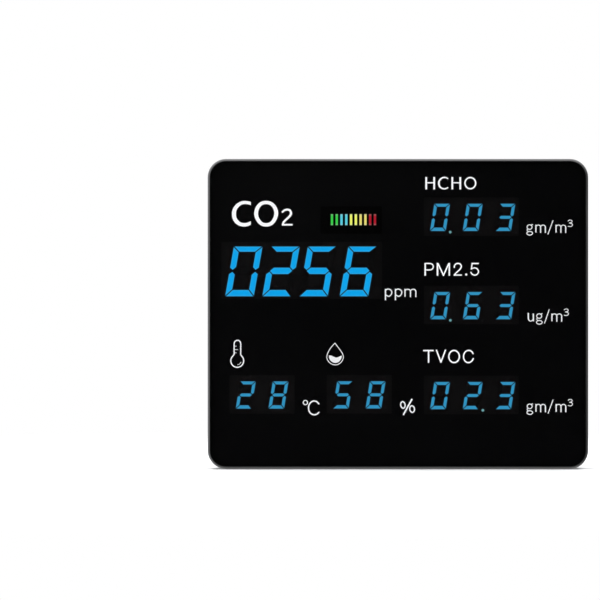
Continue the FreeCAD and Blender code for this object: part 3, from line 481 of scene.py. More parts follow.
# the CAD nodes that each material covers
COVERS = {
    "rim": ["trim_bezel"],
    "panel": ["front_panel"],
    "film": ["printed_mask_film"],
    "foam": ["panel_adhesive_frame", "particle_sensor_foam_pad"],
    "tray": ["display_tray"],
    "module": [name + "_display_housing" for name in DISPLAYS],
    "module_dark": ["level_bar_housing"],
    "led_off": ["level_bar_segments"] + [name + "_display_segments" for name in DISPLAYS],
    "tin": ["display_pins", "sensor_header_pins", "power_socket_pin"],
    "board": ["main_board"],
    "carrier": ["sensor_carrier_boards"],
    "zinc": ["board_screws", "shell_screws"],
    "steel": ["stand_hinge_pin", "particle_fan_motor"],
    "epoxy": ["microcontroller", "display_driver_chips"],
    "socket": ["alarm_buzzer", "power_socket_housing", "power_switch_body",
               "tactile_switch_bodies"],
    "ferrite": ["power_inductor"],
    "sleeve": ["board_capacitors"],
    "gold": ["co2_sensor_cavity"],
    "membrane": ["co2_sensor_filters", "hcho_sensor_membrane"],
    "white_case": ["hcho_sensor_cell", "temperature_humidity_sensor"],
    "ivory": ["cable_connectors"],
    "sheet": ["tvoc_sensor_can", "particle_sensor_case", "particle_sensor_lid"],
    "gauze": ["tvoc_sensor_gauze"],
    "fan": ["particle_fan_impeller", "particle_sensor_optics_block"],
    "brass": ["particle_sensor_laser"],
    "wire_red": ["sensor_cable"],
    "button": ["set_button", "up_button", "down_button"],
    "slider": ["power_switch_slider"],
    "shell": ["rear_shell"],
    "stand": ["stand_leg"],
    "rubber": ["base_pads", "stand_foot_pad"],
}
NODE_MATERIAL = {node: key for key, nodes in COVERS.items() for node in nodes}

for name, obj in NODES.items():
    obj.data.materials.clear()
    obj.data.materials.append(material(NODE_MATERIAL[name]))


# ---- mesh helpers
def place_key(point):
    """Points that share this key, a 0.005 mm grid place, count as one."""
    return tuple(round(v * 2e5) for v in point)


def islands(mesh):
    """Polygon index lists of a mesh's connected parts, doubled corners counting as joined."""
    numbers = {}
    merged = [numbers.setdefault(place_key(v.co), len(numbers)) for v in mesh.vertices]
    parent = list(range(len(numbers)))

    def find(a):
        while parent[a] != a:
            parent[a] = parent[parent[a]]
            a = parent[a]
        return a

    for poly in mesh.polygons:
        first, *others = [merged[v] for v in poly.vertices]
        first = find(first)
        for other in others:
            parent[find(other)] = first
    groups = {}
    for poly in mesh.polygons:
        groups.setdefault(find(merged[poly.vertices[0]]), []).append(poly.index)
    return list(groups.values())


def middle(mesh, polys):
    """Middle and size of the box round some polygons, in millimetres."""
    used = {v for i in polys for v in mesh.polygons[i].vertices}
    places = np.array([mesh.vertices[v].co for v in used])
    low, high = places.min(0), places.max(0)
    return (low + high) / 2 / MM, (high - low) / MM


def new_piece(name, mesh):
    piece = bpy.data.objects.new(name, mesh)
    bpy.context.scene.collection.objects.link(piece)
    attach(piece, ROOT)
    return piece


# ---- lit digits and level bar
# Digit sizes. middle is the distance from a digit's foot-left corner to its middle along X.
# lens: width of the softened edge, width of the band round the core, and set-back of the edge.
BIG = {"width": 20.6, "height": 35.6, "slant": 0.176, "middle": 12.0, "lit": "blue_big",
       "lens": {"edge": 0.34, "core": 0.95, "drop": 0.16}}
SMALL = {"width": 11.4, "height": 19.6, "slant": 0.16, "middle": 7.5, "lit": "blue_small",
         "lens": {"edge": 0.34, "core": 0.40, "drop": 0.12}}
POINT_LENS = {"edge": 0.16, "core": 0.36, "drop": 0.10}
BAR_LENS = {"edge": 0.36, "core": 0.28, "drop": 0.14}
# digit size, x of each digit's foot-left corner, z of the feet, text, digit whose point is lit
MODULES = {
    "co2": (BIG, [-122.85, -96.44, -70.30, -41.54], 122.4, "0256", None),
    "hcho": (SMALL, [22.7, 45.9, 69.1], 168.8, "003", 0),
    "pm": (SMALL, [22.8, 46.0, 69.2], 106.1, "063", 0),
    "tvoc": (SMALL, [22.7, 45.9, 69.1], 42.2, "023", 1),
    "temperature": (SMALL, [-115.3, -92.1], 42.6, "28", None),
    "humidity": (SMALL, [-46.3, -23.1], 42.7, "58", None),
}
LIT = {"0": "abcdef", "2": "abged", "3": "abgcd", "5": "afgcd", "6": "afgedc", "8": "abcdefg"}
# middle of each segment in an upright digit of width 1 and height 1
SPOT = {"a": (0.5, 0.95), "b": (0.9, 0.74), "c": (0.9, 0.27), "d": (0.5, 0.06),
        "e": (0.1, 0.27), "f": (0.1, 0.74), "g": (0.5, 0.51)}


def lens_mesh(source, polys, edge, core, drop):
    """Copies a solid out of a CAD mesh and gives its front a softened edge and an inner core.
    The point attribute glow runs from 0 at the wall to 1 over the core."""
    bm = bmesh.new()
    seen = {}
    for i in polys:
        corners = []
        for v in source.polygons[i].vertices:
            place = source.vertices[v].co
            key = place_key(place)
            if key not in seen:
                seen[key] = bm.verts.new(place)
            corners.append(seen[key])
        if len(set(corners)) == len(corners):
            # merged corners may give the same face twice; the second is refused
            try:
                bm.faces.new(corners)
            except ValueError:
                pass
    bmesh.ops.recalc_face_normals(bm, faces=bm.faces)
    bmesh.ops.dissolve_limit(bm, angle_limit=math.radians(0.8), verts=bm.verts, edges=bm.edges)
    glow = bm.verts.layers.float.new("glow")
    front_y = min(v.co.y for v in bm.verts)
    faces = [f for f in bm.faces
             if f.normal.y < -0.999 and abs(f.calc_center_median().y - front_y) < 2e-5]
    outer = {v for f in faces for v in f.verts}
    for face in faces:
        for width, level in ((edge, 0.55), (core, 1.0)):
            bmesh.ops.inset_individual(bm, faces=[face], thickness=width * MM, depth=0.0,
                                       use_even_offset=True)
            for v in face.verts:
                v[glow] = level
    for v in outer:
        v.co.y += drop * MM
    mesh = bpy.data.meshes.new("lens")
    bm.to_mesh(mesh)
    bm.free()
    return mesh


def join_pieces(name, parts):
    """One object from (mesh, material key) pairs, each face with its own material."""
    keys = []
    bm = bmesh.new()
    bm.verts.layers.float.new("glow")
    for part, key in parts:
        if key not in keys:
            keys.append(key)
        start = len(bm.faces)
        bm.from_mesh(part)
        bm.faces.ensure_lookup_table()
        for i in range(start, len(bm.faces)):
            bm.faces[i].material_index = keys.index(key)
    mesh = bpy.data.meshes.new(name)
    bm.to_mesh(mesh)
    bm.free()
    for part, _ in parts:
        bpy.data.meshes.remove(part)
    for key in keys:
        mesh.materials.append(material(key))
    return new_piece(name, mesh)


def digit_part(source, group, shape, feet, z_foot, text, point):
    """Lens mesh and material key of one solid, a decimal point or a segment, of a display."""
    (x, _, z), size = middle(source, group)
    digit = min(range(len(feet)), key=lambda i: abs(x - (feet[i] + shape["middle"])))
    if shape is SMALL and z < z_foot + 0.6 and size[0] < 2.4:
        return lens_mesh(source, group, **POINT_LENS), "point" if point == digit else "led_off"
    across = (x - feet[digit] - shape["slant"] * (z - z_foot)) / shape["width"]
    rise = (z - z_foot) / shape["height"]
    segment = min(SPOT, key=lambda k: (SPOT[k][0] - across) ** 2 + (SPOT[k][1] - rise) ** 2)
    key = shape["lit"] if segment in LIT[text[digit]] else "led_off"
    return lens_mesh(source, group, **shape["lens"]), key


for display, layout in MODULES.items():
    node = display + "_display_segments"
    source = NODES[node].data
    parts = [digit_part(source, group, *layout) for group in islands(source)]
    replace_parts(join_pieces(display + "_digit_lenses", parts), node)

BAR_KEYS = [key for key in BAR_LIGHTS for _ in range(2)]
source = NODES["level_bar_segments"].data
bars = sorted(islands(source), key=lambda group: middle(source, group)[0][0])
parts = [(lens_mesh(source, group, **BAR_LENS), BAR_KEYS[min(i, len(BAR_KEYS) - 1)])
         for i, group in enumerate(bars)]
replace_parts(join_pieces("level_bar_lenses", parts), "level_bar_segments")


# ---- printed legends
# widths along the arches of the letter m, in three legends
ARCH_PPM = [1.22] * 4 + [1.26, 1.33, 1.33]
ARCH_UNIT = [1.16] * 4 + [1.25, 1.36, 1.36]
ARCH_MID = [1.18] * 4 + [1.25, 1.36, 1.36]


def letter_h(left, right):
    """The three strokes of an H in the hcho legend, between two x positions."""
    top, bottom, bar = 207.48, 198.23, 203.16
    return [
        ("line", 1.77, [(left, top), (left, bottom)]),
        ("line", 1.77, [(right, top), (right, bottom)]),
        ("line", 1.33, [(left, bar), (right, bar)])]


# Legend: material, how far the print's edge lies inside the strokes, strokes.
# Stroke: kind, full width (one, or one per point), points (x, z), then maybe the x of an upright
# cut at its right. A loop is a closed curve; a fill is the area inside one. A dot gives its radius.
LEGENDS = {
    "co2": ("ink", 0.21, [
        ("curve", [2.49, 2.66, 2.66, 2.75, 3.01, 3.22, 3.31, 3.27, 3.18, 3.01, 2.92, 2.84, 2.58],
         [(-103.94, 188.13), (-105.79, 188.82), (-108.8, 189.16), (-111.6, 188.56),
          (-114.31, 186.58), (-115.99, 183.79), (-116.42, 181.0), (-116.03, 178.21),
          (-114.53, 175.64), (-112.03, 173.83), (-109.23, 173.28), (-106.44, 173.71),
          (-103.94, 174.95)], -104.2),
        ("loop",
         [2.75, 2.84, 3.01, 3.18, 3.18, 3.01, 2.92, 2.84, 2.92, 3.01, 3.18, 3.18, 3.01, 2.84],
         [(-93.53, 189.16), (-90.3, 188.47), (-87.85, 186.15), (-86.56, 183.15), (-86.56, 179.93),
          (-87.94, 176.5), (-90.3, 174.05), (-93.53, 173.28), (-96.76, 174.05), (-99.12, 176.5),
          (-100.5, 179.72), (-100.5, 182.94), (-99.21, 186.15), (-96.76, 188.47)]),
        ("curve", [1.72, 1.8, 1.89, 1.98, 1.98, 1.98, 1.89, 1.89, 1.89, 1.8],
         [(-82.0, 182.38), (-80.41, 183.66), (-78.6, 184.09), (-76.75, 183.58), (-75.93, 181.86),
          (-76.28, 180.23), (-77.61, 178.6), (-79.46, 176.93), (-81.05, 175.21),
          (-81.74, 173.36)]),
        ("line", 1.63, [(-82.6, 173.36), (-74.6, 173.36)]),
    ]),
    "hcho": ("ink", 0.24, [
        *letter_h(20.13, 25.78),
        *letter_h(38.68, 44.32),
        ("curve", [1.39, 1.46, 1.46, 1.58, 1.71, 1.77, 1.77, 1.71, 1.58, 1.46, 1.46, 1.46],
         [(35.54, 206.1), (34.24, 206.81), (32.85, 206.93), (31.32, 206.5), (29.96, 205.26),
          (29.2, 203.87), (29.17, 202.02), (29.8, 200.48), (31.07, 199.34), (32.66, 198.88),
          (34.11, 199.07), (35.51, 199.71)]),
        ("loop", 1.52,
         [(55.23, 202.89), (54.94, 201.37), (54.12, 200.07), (52.9, 199.21), (51.46, 198.91),
          (50.01, 199.21), (48.79, 200.07), (47.97, 201.37), (47.68, 202.89), (47.97, 204.41),
          (48.79, 205.7), (50.01, 206.56), (51.46, 206.87), (52.9, 206.56), (54.12, 205.7),
          (54.94, 204.41)]),
    ]),
    "pm": ("ink", 0.25, [
        ("line", 1.58, [(19.41, 146.51), (19.41, 136.91)]),
        ("curve", 1.39,
         [(19.88, 145.86), (22.58, 145.86), (24.0, 145.51), (24.96, 144.58), (25.11, 143.55),
          (24.89, 142.46), (23.91, 141.58), (22.58, 141.25), (19.88, 141.25)]),
        ("line", 1.65, [(28.16, 146.51), (28.16, 136.91)]),
        ("line", 1.58, [(36.53, 146.51), (36.53, 136.91)]),
        ("line", 1.46, [(28.44, 146.04), (32.37, 137.42), (36.31, 146.04)]),
        ("curve", 1.46,
         [(40.05, 143.02), (40.24, 144.33), (41.28, 145.51), (42.71, 145.89), (44.23, 145.45),
          (44.99, 144.26), (44.83, 142.83), (43.82, 141.37), (42.33, 140.03), (40.87, 138.66),
          (40.05, 137.42)]),
        ("line", 1.35, [(39.38, 137.63), (45.72, 137.63)]),
        ("dot", 1.04, [(48.57, 138.01)]),
        ("line", 1.46, [(52.13, 145.83), (57.8, 145.83)]),
        ("line", 1.39, [(52.85, 146.35), (52.19, 141.46)]),
        ("curve", 1.39,
         [(52.06, 141.84), (53.33, 142.49), (54.76, 142.7), (56.18, 142.14), (57.13, 140.74),
          (57.17, 139.49), (56.34, 138.22), (54.92, 137.56), (53.33, 137.88), (52.22, 138.87),
          (51.84, 139.59)]),
    ]),
    "tvoc": ("ink", 0.26, [
        ("line", 1.52, [(17.65, 83.99), (25.7, 83.99)]),
        ("line", 1.58, [(21.83, 83.99), (21.83, 75.02)]),
        ("line", 1.52, [(27.22, 84.8), (30.58, 75.74), (34.01, 84.8)]),
        ("loop", 1.52,
         [(43.68, 79.76), (43.39, 78.11), (42.58, 76.73), (41.37, 75.79), (39.94, 75.47),
          (38.5, 75.79), (37.29, 76.73), (36.48, 78.11), (36.19, 79.76), (36.48, 81.4),
          (37.29, 82.79), (38.5, 83.72), (39.94, 84.05), (41.37, 83.72), (42.58, 82.79),
          (43.39, 81.4)]),
        ("curve", 1.46,
         [(53.45, 81.72), (52.53, 83.18), (51.16, 83.96), (49.74, 84.05), (48.17, 83.32),
          (47.08, 81.88), (46.66, 80.06), (46.88, 78.1), (47.83, 76.43), (49.31, 75.56),
          (50.74, 75.53), (52.16, 76.22), (53.08, 77.34), (53.53, 78.34)]),
    ]),
    "ppm": ("ink_units", 0.23, [
        ("line", 1.37, [(-8.8, 128.03), (-8.8, 119.51)]),
        ("curve", 1.26,
         [(-8.7, 126.67), (-7.76, 127.47), (-6.53, 127.65), (-5.22, 127.12), (-4.4, 126.03),
          (-4.34, 124.86), (-4.88, 123.59), (-5.88, 122.68), (-7.01, 122.64), (-8.05, 123.23),
          (-8.7, 123.77)]),
        ("line", 1.37, [(-1.71, 128.03), (-1.71, 119.51)]),
        ("curve", 1.26,
         [(-1.62, 126.67), (-0.68, 127.47), (0.54, 127.65), (1.86, 127.12), (2.69, 126.03),
          (2.74, 124.86), (2.2, 123.59), (1.2, 122.68), (0.07, 122.64), (-0.96, 123.23),
          (-1.62, 123.77)]),
        ("line", 1.33, [(5.08, 128.03), (5.08, 121.99)]),
        ("curve", ARCH_PPM,
         [(5.12, 126.51), (6.01, 127.25), (7.02, 127.52), (8.11, 127.27), (8.81, 126.55),
          (8.96, 125.48), (8.96, 121.99)]),
        ("curve", ARCH_PPM,
         [(9.0, 126.51), (9.87, 127.25), (10.86, 127.52), (11.93, 127.27), (12.61, 126.55),
          (12.77, 125.48), (12.77, 121.99)]),
    ]),
    "unit_top": ("ink_units", 0.26, [
        ("loop", 1.16,
         [(95.32, 171.71), (95.19, 171.09), (94.8, 170.56), (94.23, 170.22), (93.54, 170.09),
          (92.86, 170.22), (92.29, 170.56), (91.9, 171.09), (91.77, 171.71), (91.9, 172.32),
          (92.29, 172.85), (92.86, 173.2), (93.54, 173.32), (94.23, 173.2), (94.8, 172.85),
          (95.19, 172.32)]),
        ("line", 1.07, [(94.41, 173.35), (96.21, 173.45)]),
        ("curve", 1.1, [(92.31, 170.38), (91.79, 169.67), (92.07, 168.92), (93.06, 168.59)]),
        ("loop", 1.16,
         [(95.67, 167.31), (95.51, 166.81), (95.08, 166.39), (94.43, 166.1), (93.65, 166.0),
          (92.88, 166.1), (92.23, 166.39), (91.79, 166.81), (91.63, 167.31), (91.79, 167.81),
          (92.23, 168.23), (92.88, 168.51), (93.65, 168.61), (94.43, 168.51), (95.08, 168.23),
          (95.51, 167.81)]),
        ("line", 1.36, [(98.04, 173.64), (98.04, 167.6)]),
        ("curve", ARCH_UNIT,
         [(98.09, 172.14), (98.85, 172.87), (99.72, 173.14), (100.66, 172.88), (101.27, 172.18),
          (101.4, 171.12), (101.4, 167.6)]),
        ("curve", ARCH_UNIT,
         [(101.45, 172.14), (102.21, 172.87), (103.09, 173.14), (104.03, 172.88),
          (104.63, 172.18), (104.76, 171.12), (104.76, 167.6)]),
        ("line", 1.13, [(106.46, 166.26), (110.33, 176.79)]),
        ("line", 1.36, [(112.35, 173.64), (112.35, 167.6)]),
        ("curve", ARCH_UNIT,
         [(112.4, 172.14), (113.18, 172.87), (114.08, 173.14), (115.04, 172.88),
          (115.66, 172.18), (115.8, 171.12), (115.8, 167.6)]),
        ("curve", ARCH_UNIT,
         [(115.85, 172.14), (116.62, 172.87), (117.5, 173.14), (118.46, 172.88),
          (119.08, 172.18), (119.21, 171.12), (119.21, 167.6)]),
        ("curve", 1.04,
         [(120.83, 176.0), (121.53, 176.5), (122.52, 176.71), (123.46, 176.31), (123.71, 175.59),
          (123.14, 174.86), (121.72, 174.6)]),
        ("curve", 1.04,
         [(121.72, 174.6), (123.25, 174.28), (123.95, 173.5), (123.63, 172.54), (122.44, 172.04),
          (120.77, 172.33)]),
    ]),
    "unit_low": ("ink_units", 0.26, [
        ("loop", 1.16,
         [(95.38, 44.36), (95.25, 43.73), (94.86, 43.21), (94.29, 42.86), (93.6, 42.74),
          (92.92, 42.86), (92.35, 43.21), (91.96, 43.73), (91.83, 44.36), (91.96, 44.97),
          (92.35, 45.5), (92.92, 45.84), (93.6, 45.97), (94.29, 45.84), (94.86, 45.5),
          (95.25, 44.97)]),
        ("line", 1.07, [(94.47, 45.99), (96.27, 46.09)]),
        ("curve", 1.1, [(92.37, 43.02), (91.85, 42.32), (92.13, 41.57), (93.12, 41.23)]),
        ("loop", 1.16,
         [(95.73, 39.95), (95.57, 39.46), (95.14, 39.04), (94.48, 38.75), (93.71, 38.65),
          (92.94, 38.75), (92.29, 39.04), (91.85, 39.46), (91.69, 39.95), (91.85, 40.45),
          (92.29, 40.87), (92.94, 41.16), (93.71, 41.26), (94.48, 41.16), (95.14, 40.87),
          (95.57, 40.45)]),
        ("line", 1.36, [(98.1, 46.28), (98.1, 40.24)]),
        ("curve", ARCH_UNIT,
         [(98.15, 44.79), (98.91, 45.51), (99.78, 45.79), (100.72, 45.53), (101.33, 44.82),
          (101.46, 43.77), (101.46, 40.24)]),
        ("curve", ARCH_UNIT,
         [(101.51, 44.79), (102.27, 45.51), (103.15, 45.79), (104.09, 45.53), (104.69, 44.82),
          (104.82, 43.77), (104.82, 40.24)]),
        ("line", 1.13, [(106.52, 38.91), (110.39, 49.43)]),
        ("line", 1.36, [(112.41, 46.28), (112.41, 40.24)]),
        ("curve", ARCH_UNIT,
         [(112.46, 44.79), (113.24, 45.51), (114.14, 45.79), (115.1, 45.53), (115.72, 44.82),
          (115.86, 43.77), (115.86, 40.24)]),
        ("curve", ARCH_UNIT,
         [(115.91, 44.79), (116.68, 45.51), (117.56, 45.79), (118.52, 45.53), (119.14, 44.82),
          (119.27, 43.77), (119.27, 40.24)]),
        ("curve", 1.04,
         [(120.89, 48.65), (121.59, 49.15), (122.58, 49.35), (123.52, 48.96), (123.77, 48.24),
          (123.2, 47.51), (121.78, 47.25)]),
        ("curve", 1.04,
         [(121.78, 47.25), (123.31, 46.93), (124.01, 46.15), (123.69, 45.18), (122.5, 44.69),
          (120.83, 44.98)]),
    ]),
    "unit_mid": ("ink_units", 0.27, [
        ("curve", [1.47, 1.47, 1.41, 1.25, 1.18, 1.18, 1.18],
         [(92.65, 110.55), (92.65, 108.14), (92.73, 106.52), (93.27, 105.42), (94.17, 104.9),
          (95.14, 105.22), (96.0, 106.06)]),
        ("line", 1.47, [(96.21, 110.55), (96.21, 104.56)]),
        ("loop", 1.18,
         [(102.15, 108.49), (102.01, 107.86), (101.63, 107.34), (101.06, 106.98),
          (100.39, 106.87), (99.71, 106.98), (99.14, 107.34), (98.75, 107.86), (98.62, 108.49),
          (98.75, 109.11), (99.14, 109.64), (99.71, 109.98), (100.39, 110.11), (101.06, 109.98),
          (101.63, 109.64), (102.01, 109.11)]),
        ("line", 1.09, [(101.24, 110.14), (103.04, 110.23)]),
        ("curve", 1.12, [(99.15, 107.15), (98.65, 106.44), (98.91, 105.69), (99.91, 105.34)]),
        ("loop", 1.18,
         [(102.5, 104.06), (102.35, 103.57), (101.92, 103.14), (101.26, 102.85),
          (100.49, 102.76), (99.72, 102.85), (99.07, 103.14), (98.64, 103.57), (98.49, 104.06),
          (98.64, 104.56), (99.07, 104.99), (99.72, 105.27), (100.49, 105.37), (101.26, 105.27),
          (101.92, 104.99), (102.35, 104.56)]),
        ("line", 1.15, [(104.02, 102.97), (107.61, 113.49)]),
        ("line", 1.36, [(109.43, 110.55), (109.43, 104.56)]),
        ("curve", ARCH_MID,
         [(109.49, 109.05), (110.27, 109.78), (111.17, 110.06), (112.15, 109.8),
          (112.77, 109.09), (112.91, 108.03), (112.91, 104.56)]),
        ("curve", ARCH_MID,
         [(112.97, 109.05), (113.74, 109.78), (114.62, 110.06), (115.59, 109.8),
          (116.2, 109.09), (116.34, 108.03), (116.34, 104.56)]),
        ("curve", 1.06,
         [(118.05, 112.86), (118.75, 113.35), (119.73, 113.56), (120.68, 113.17),
          (120.92, 112.43), (120.36, 111.7), (118.94, 111.44)]),
        ("curve", 1.06,
         [(118.94, 111.44), (120.46, 111.13), (121.15, 110.34), (120.84, 109.38),
          (119.66, 108.87), (118.0, 109.16)]),
    ]),
    "celsius": ("ink_units", 0.23, [
        ("loop", 1.14,
         [(-64.17, 47.06), (-64.28, 46.46), (-64.61, 45.97), (-65.1, 45.64), (-65.68, 45.52),
          (-66.26, 45.64), (-66.75, 45.97), (-67.08, 46.46), (-67.2, 47.06), (-67.08, 47.64),
          (-66.75, 48.14), (-66.26, 48.48), (-65.68, 48.6), (-65.1, 48.48), (-64.61, 48.14),
          (-64.28, 47.64)]),
        ("curve", 1.41,
         [(-56.0, 46.01), (-57.63, 47.66), (-59.62, 48.16), (-61.51, 47.44), (-62.98, 45.57),
          (-63.41, 43.36), (-62.98, 40.89), (-61.51, 39.07), (-59.46, 38.41), (-57.46, 38.91),
          (-56.0, 40.22)]),
    ]),
    "percent": ("ink_units", 0.21, [
        ("loop", 1.3,
         [(5.12, 45.57), (5.13, 44.67), (4.9, 43.88), (4.48, 43.31), (3.91, 43.06), (3.3, 43.15),
          (2.73, 43.58), (2.28, 44.29), (2.04, 45.15), (2.03, 46.05), (2.25, 46.85),
          (2.69, 47.41), (3.24, 47.67), (3.86, 47.58), (4.43, 47.15), (4.87, 46.45)]),
        ("loop", 1.3,
         [(11.78, 42.66), (11.78, 41.76), (11.53, 40.96), (11.07, 40.39), (10.46, 40.13),
          (9.8, 40.21), (9.19, 40.64), (8.73, 41.34), (8.48, 42.21), (8.48, 43.1), (8.72, 43.91),
          (9.19, 44.48), (9.8, 44.75), (10.45, 44.65), (11.06, 44.23), (11.53, 43.53)]),
        ("line", 1.53, [(3.74, 38.05), (10.18, 49.81)]),
    ]),
    "thermometer": ("ink_units", 0.30, [
        ("loop", 1.4,
         [(-116.3, 83.23), (-116.3, 86.16), (-116.3, 88.6), (-115.94, 89.98), (-115.06, 90.91),
          (-113.85, 91.25), (-112.66, 90.91), (-111.86, 89.95), (-111.59, 88.6),
          (-111.59, 86.16), (-111.59, 83.23), (-111.59, 81.24), (-111.01, 80.22),
          (-109.92, 78.72), (-109.49, 76.92), (-109.8, 75.09), (-110.78, 73.51),
          (-112.28, 72.47), (-114.07, 72.1), (-115.85, 72.47), (-117.36, 73.51),
          (-118.33, 75.09), (-118.64, 76.92), (-118.21, 78.72), (-117.12, 80.22),
          (-116.3, 81.41)]),
        ("line", 0.95, [(-116.18, 87.1), (-114.23, 87.1)]),
        ("line", 0.95, [(-116.18, 84.66), (-113.27, 84.66)]),
        ("line", 0.95, [(-116.18, 82.38), (-114.23, 82.38)]),
        ("curve", 0.94, [(-113.9, 73.92), (-113.01, 74.08), (-112.1, 74.8), (-111.31, 75.91)]),
    ]),
    "droplet": ("ink_units", 0.28, [
        ("curve", 1.08,
         [(-44.71, 89.28), (-43.99, 88.37), (-42.55, 86.43), (-41.23, 84.75), (-40.06, 83.06),
          (-39.21, 81.51), (-38.77, 79.85), (-38.95, 78.02), (-39.79, 76.33), (-41.11, 75.04),
          (-42.81, 74.09), (-44.65, 73.83), (-46.61, 74.23), (-48.45, 75.36), (-49.75, 76.98),
          (-50.47, 78.94), (-50.26, 80.79), (-49.6, 82.57), (-48.55, 84.64), (-47.14, 86.58),
          (-45.57, 88.33), (-44.71, 89.28)]),
        ("fill", 0.0,
         [(-49.17, 80.61), (-48.16, 80.85), (-46.75, 80.5), (-45.22, 79.75), (-43.78, 79.33),
          (-42.42, 79.6), (-41.01, 80.29), (-39.72, 80.67), (-39.72, 79.11), (-40.27, 77.6),
          (-41.29, 76.21), (-42.69, 75.3), (-44.51, 74.93), (-46.19, 75.34), (-47.74, 76.46),
          (-48.72, 77.84), (-49.17, 79.26)]),
    ]),
}
INK_THICKNESS = 0.05
GRID_STEP = 0.085  # grid on which the strokes are traced
GRID_MARGIN = 2.4
OUTLINE_TOLERANCE = 0.008
CURVE_STEPS = 8  # per span
FAR = 1e3


def dense_curve(points, widths, closed):
    """Catmull-Rom points and linearly blended widths."""
    count = len(points)
    dense, dense_widths = [], []
    for i in range(count if closed else count - 1):
        if closed:
            near = [points[(i + k) % count] for k in (-1, 0, 1, 2)]
        else:
            near = [points[max(0, min(count - 1, i + k))] for k in (-1, 0, 1, 2)]
        start, end = widths[i], widths[(i + 1) % count]
        for j in range(CURVE_STEPS):
            t = j / CURVE_STEPS
            dense.append(tuple(
                0.5 * (2 * p1 + (p2 - p0) * t + (2 * p0 - 5 * p1 + 4 * p2 - p3) * t * t
                       + (3 * p1 - p0 - 3 * p2 + p3) * t ** 3)
                for p0, p1, p2, p3 in zip(*near)))
            dense_widths.append(start + (end - start) * t)
    last = 0 if closed else -1
    return dense + [points[last]], dense_widths + [widths[last]]


def to_segments(x, z, points, widths, flat):
    """Signed distance to a stroke: round joins, flat ends if asked."""
    best = np.full(x.shape, FAR)
    last = len(points) - 2
    for i in range(last + 1):
        (x0, z0), (x1, z1) = points[i], points[i + 1]
        dx, dz = x1 - x0, z1 - z0
        length = math.hypot(dx, dz)
        if length < 1e-9:
            continue
        along = ((x - x0) * dx + (z - z0) * dz) / length ** 2
        t = np.clip(along, 0, 1)
        half = (widths[i] + (widths[i + 1] - widths[i]) * t) / 2
        distance = np.hypot(x - x0 - t * dx, z - z0 - t * dz) - half
        if flat and i == 0:
            distance = np.maximum(distance, -along * length)
        if flat and i == last:
            distance = np.maximum(distance, (along - 1) * length)
        best = np.minimum(best, distance)
    return best


def to_polygon(x, z, points):
    """Signed distance to a filled polygon."""
    best = np.full(x.shape, FAR)
    inside = np.zeros(x.shape, bool)
    for (x0, z0), (x1, z1) in zip(points, points[1:] + points[:1]):
        dx, dz = x1 - x0, z1 - z0
        t = np.clip(((x - x0) * dx + (z - z0) * dz) / max(dx * dx + dz * dz, 1e-12), 0, 1)
        best = np.minimum(best, np.hypot(x - x0 - t * dx, z - z0 - t * dz))
        if z0 != z1:
            inside ^= ((z0 > z) != (z1 > z)) & (x < x0 + (z - z0) * dx / dz)
    return np.where(inside, -best, best)


def stroke_field(strokes, x, z):
    """Signed distance to a legend's strokes, negative inside."""
    field = np.full(x.shape, FAR)
    for kind, width, points, *cut in strokes:
        widths = width if isinstance(width, list) else [width] * len(points)
        if kind == "dot":
            distance = np.hypot(x - points[0][0], z - points[0][1]) - width
        elif kind == "fill":
            distance = to_polygon(x, z, dense_curve(points, widths, True)[0])
        elif kind == "line":
            distance = to_segments(x, z, points, widths, True)
        else:
            closed = kind == "loop"
            distance = to_segments(x, z, *dense_curve(points, widths, closed), not closed)
        for cut_x in cut:
            distance = np.maximum(distance, x - cut_x)
        field = np.minimum(field, distance)
    return field


# Marching squares: the cell edges (left, bottom, right, top) that the outline joins, by which
# corners are inside: 1 bottom left, 2 bottom right, 4 top right, 8 top left.
EDGE_PAIRS = {1: ["lb"], 2: ["br"], 3: ["lr"], 4: ["rt"], 5: ["lt", "rb"], 6: ["bt"], 7: ["lt"],
              8: ["tl"], 9: ["tb"], 10: ["bl", "tr"], 11: ["tr"], 12: ["rl"], 13: ["rb"],
              14: ["bl"]}


def outlines(field, x0, z0, step):
    """Closed loops where the field crosses zero."""
    def cross(edge):
        (i, j), (k, m) = edge
        start, end = field[i, j], field[k, m]
        t = start / (start - end)
        return (x0 + step * (j + (m - j) * t), z0 + step * (i + (k - i) * t))

    inside = field < 0
    cases = (inside[:-1, :-1].astype(int) + 2 * inside[:-1, 1:] + 4 * inside[1:, 1:]
             + 8 * inside[1:, :-1])
    links, where = {}, {}
    for i, j in zip(*np.nonzero((cases > 0) & (cases < 15))):
        corners = (i, j), (i, j + 1), (i + 1, j + 1), (i + 1, j)
        edges = {"b": (corners[0], corners[1]), "r": (corners[1], corners[2]),
                 "t": (corners[3], corners[2]), "l": (corners[0], corners[3])}
        for start, end in EDGE_PAIRS[int(cases[i, j])]:
            a, b = edges[start], edges[end]
            where[a], where[b] = cross(a), cross(b)
            links.setdefault(a, []).append(b)
            links.setdefault(b, []).append(a)
    loops, used = [], set()
    for start in links:
        if start in used:
            continue
        loop, here, previous = [], start, None
        while here not in used:
            used.add(here)
            loop.append(where[here])
            onward = [n for n in links[here] if n != previous and n not in used]
            if not onward:
                break
            previous, here = here, onward[0]
        if len(loop) > 4:
            loops.append(loop)
    return loops


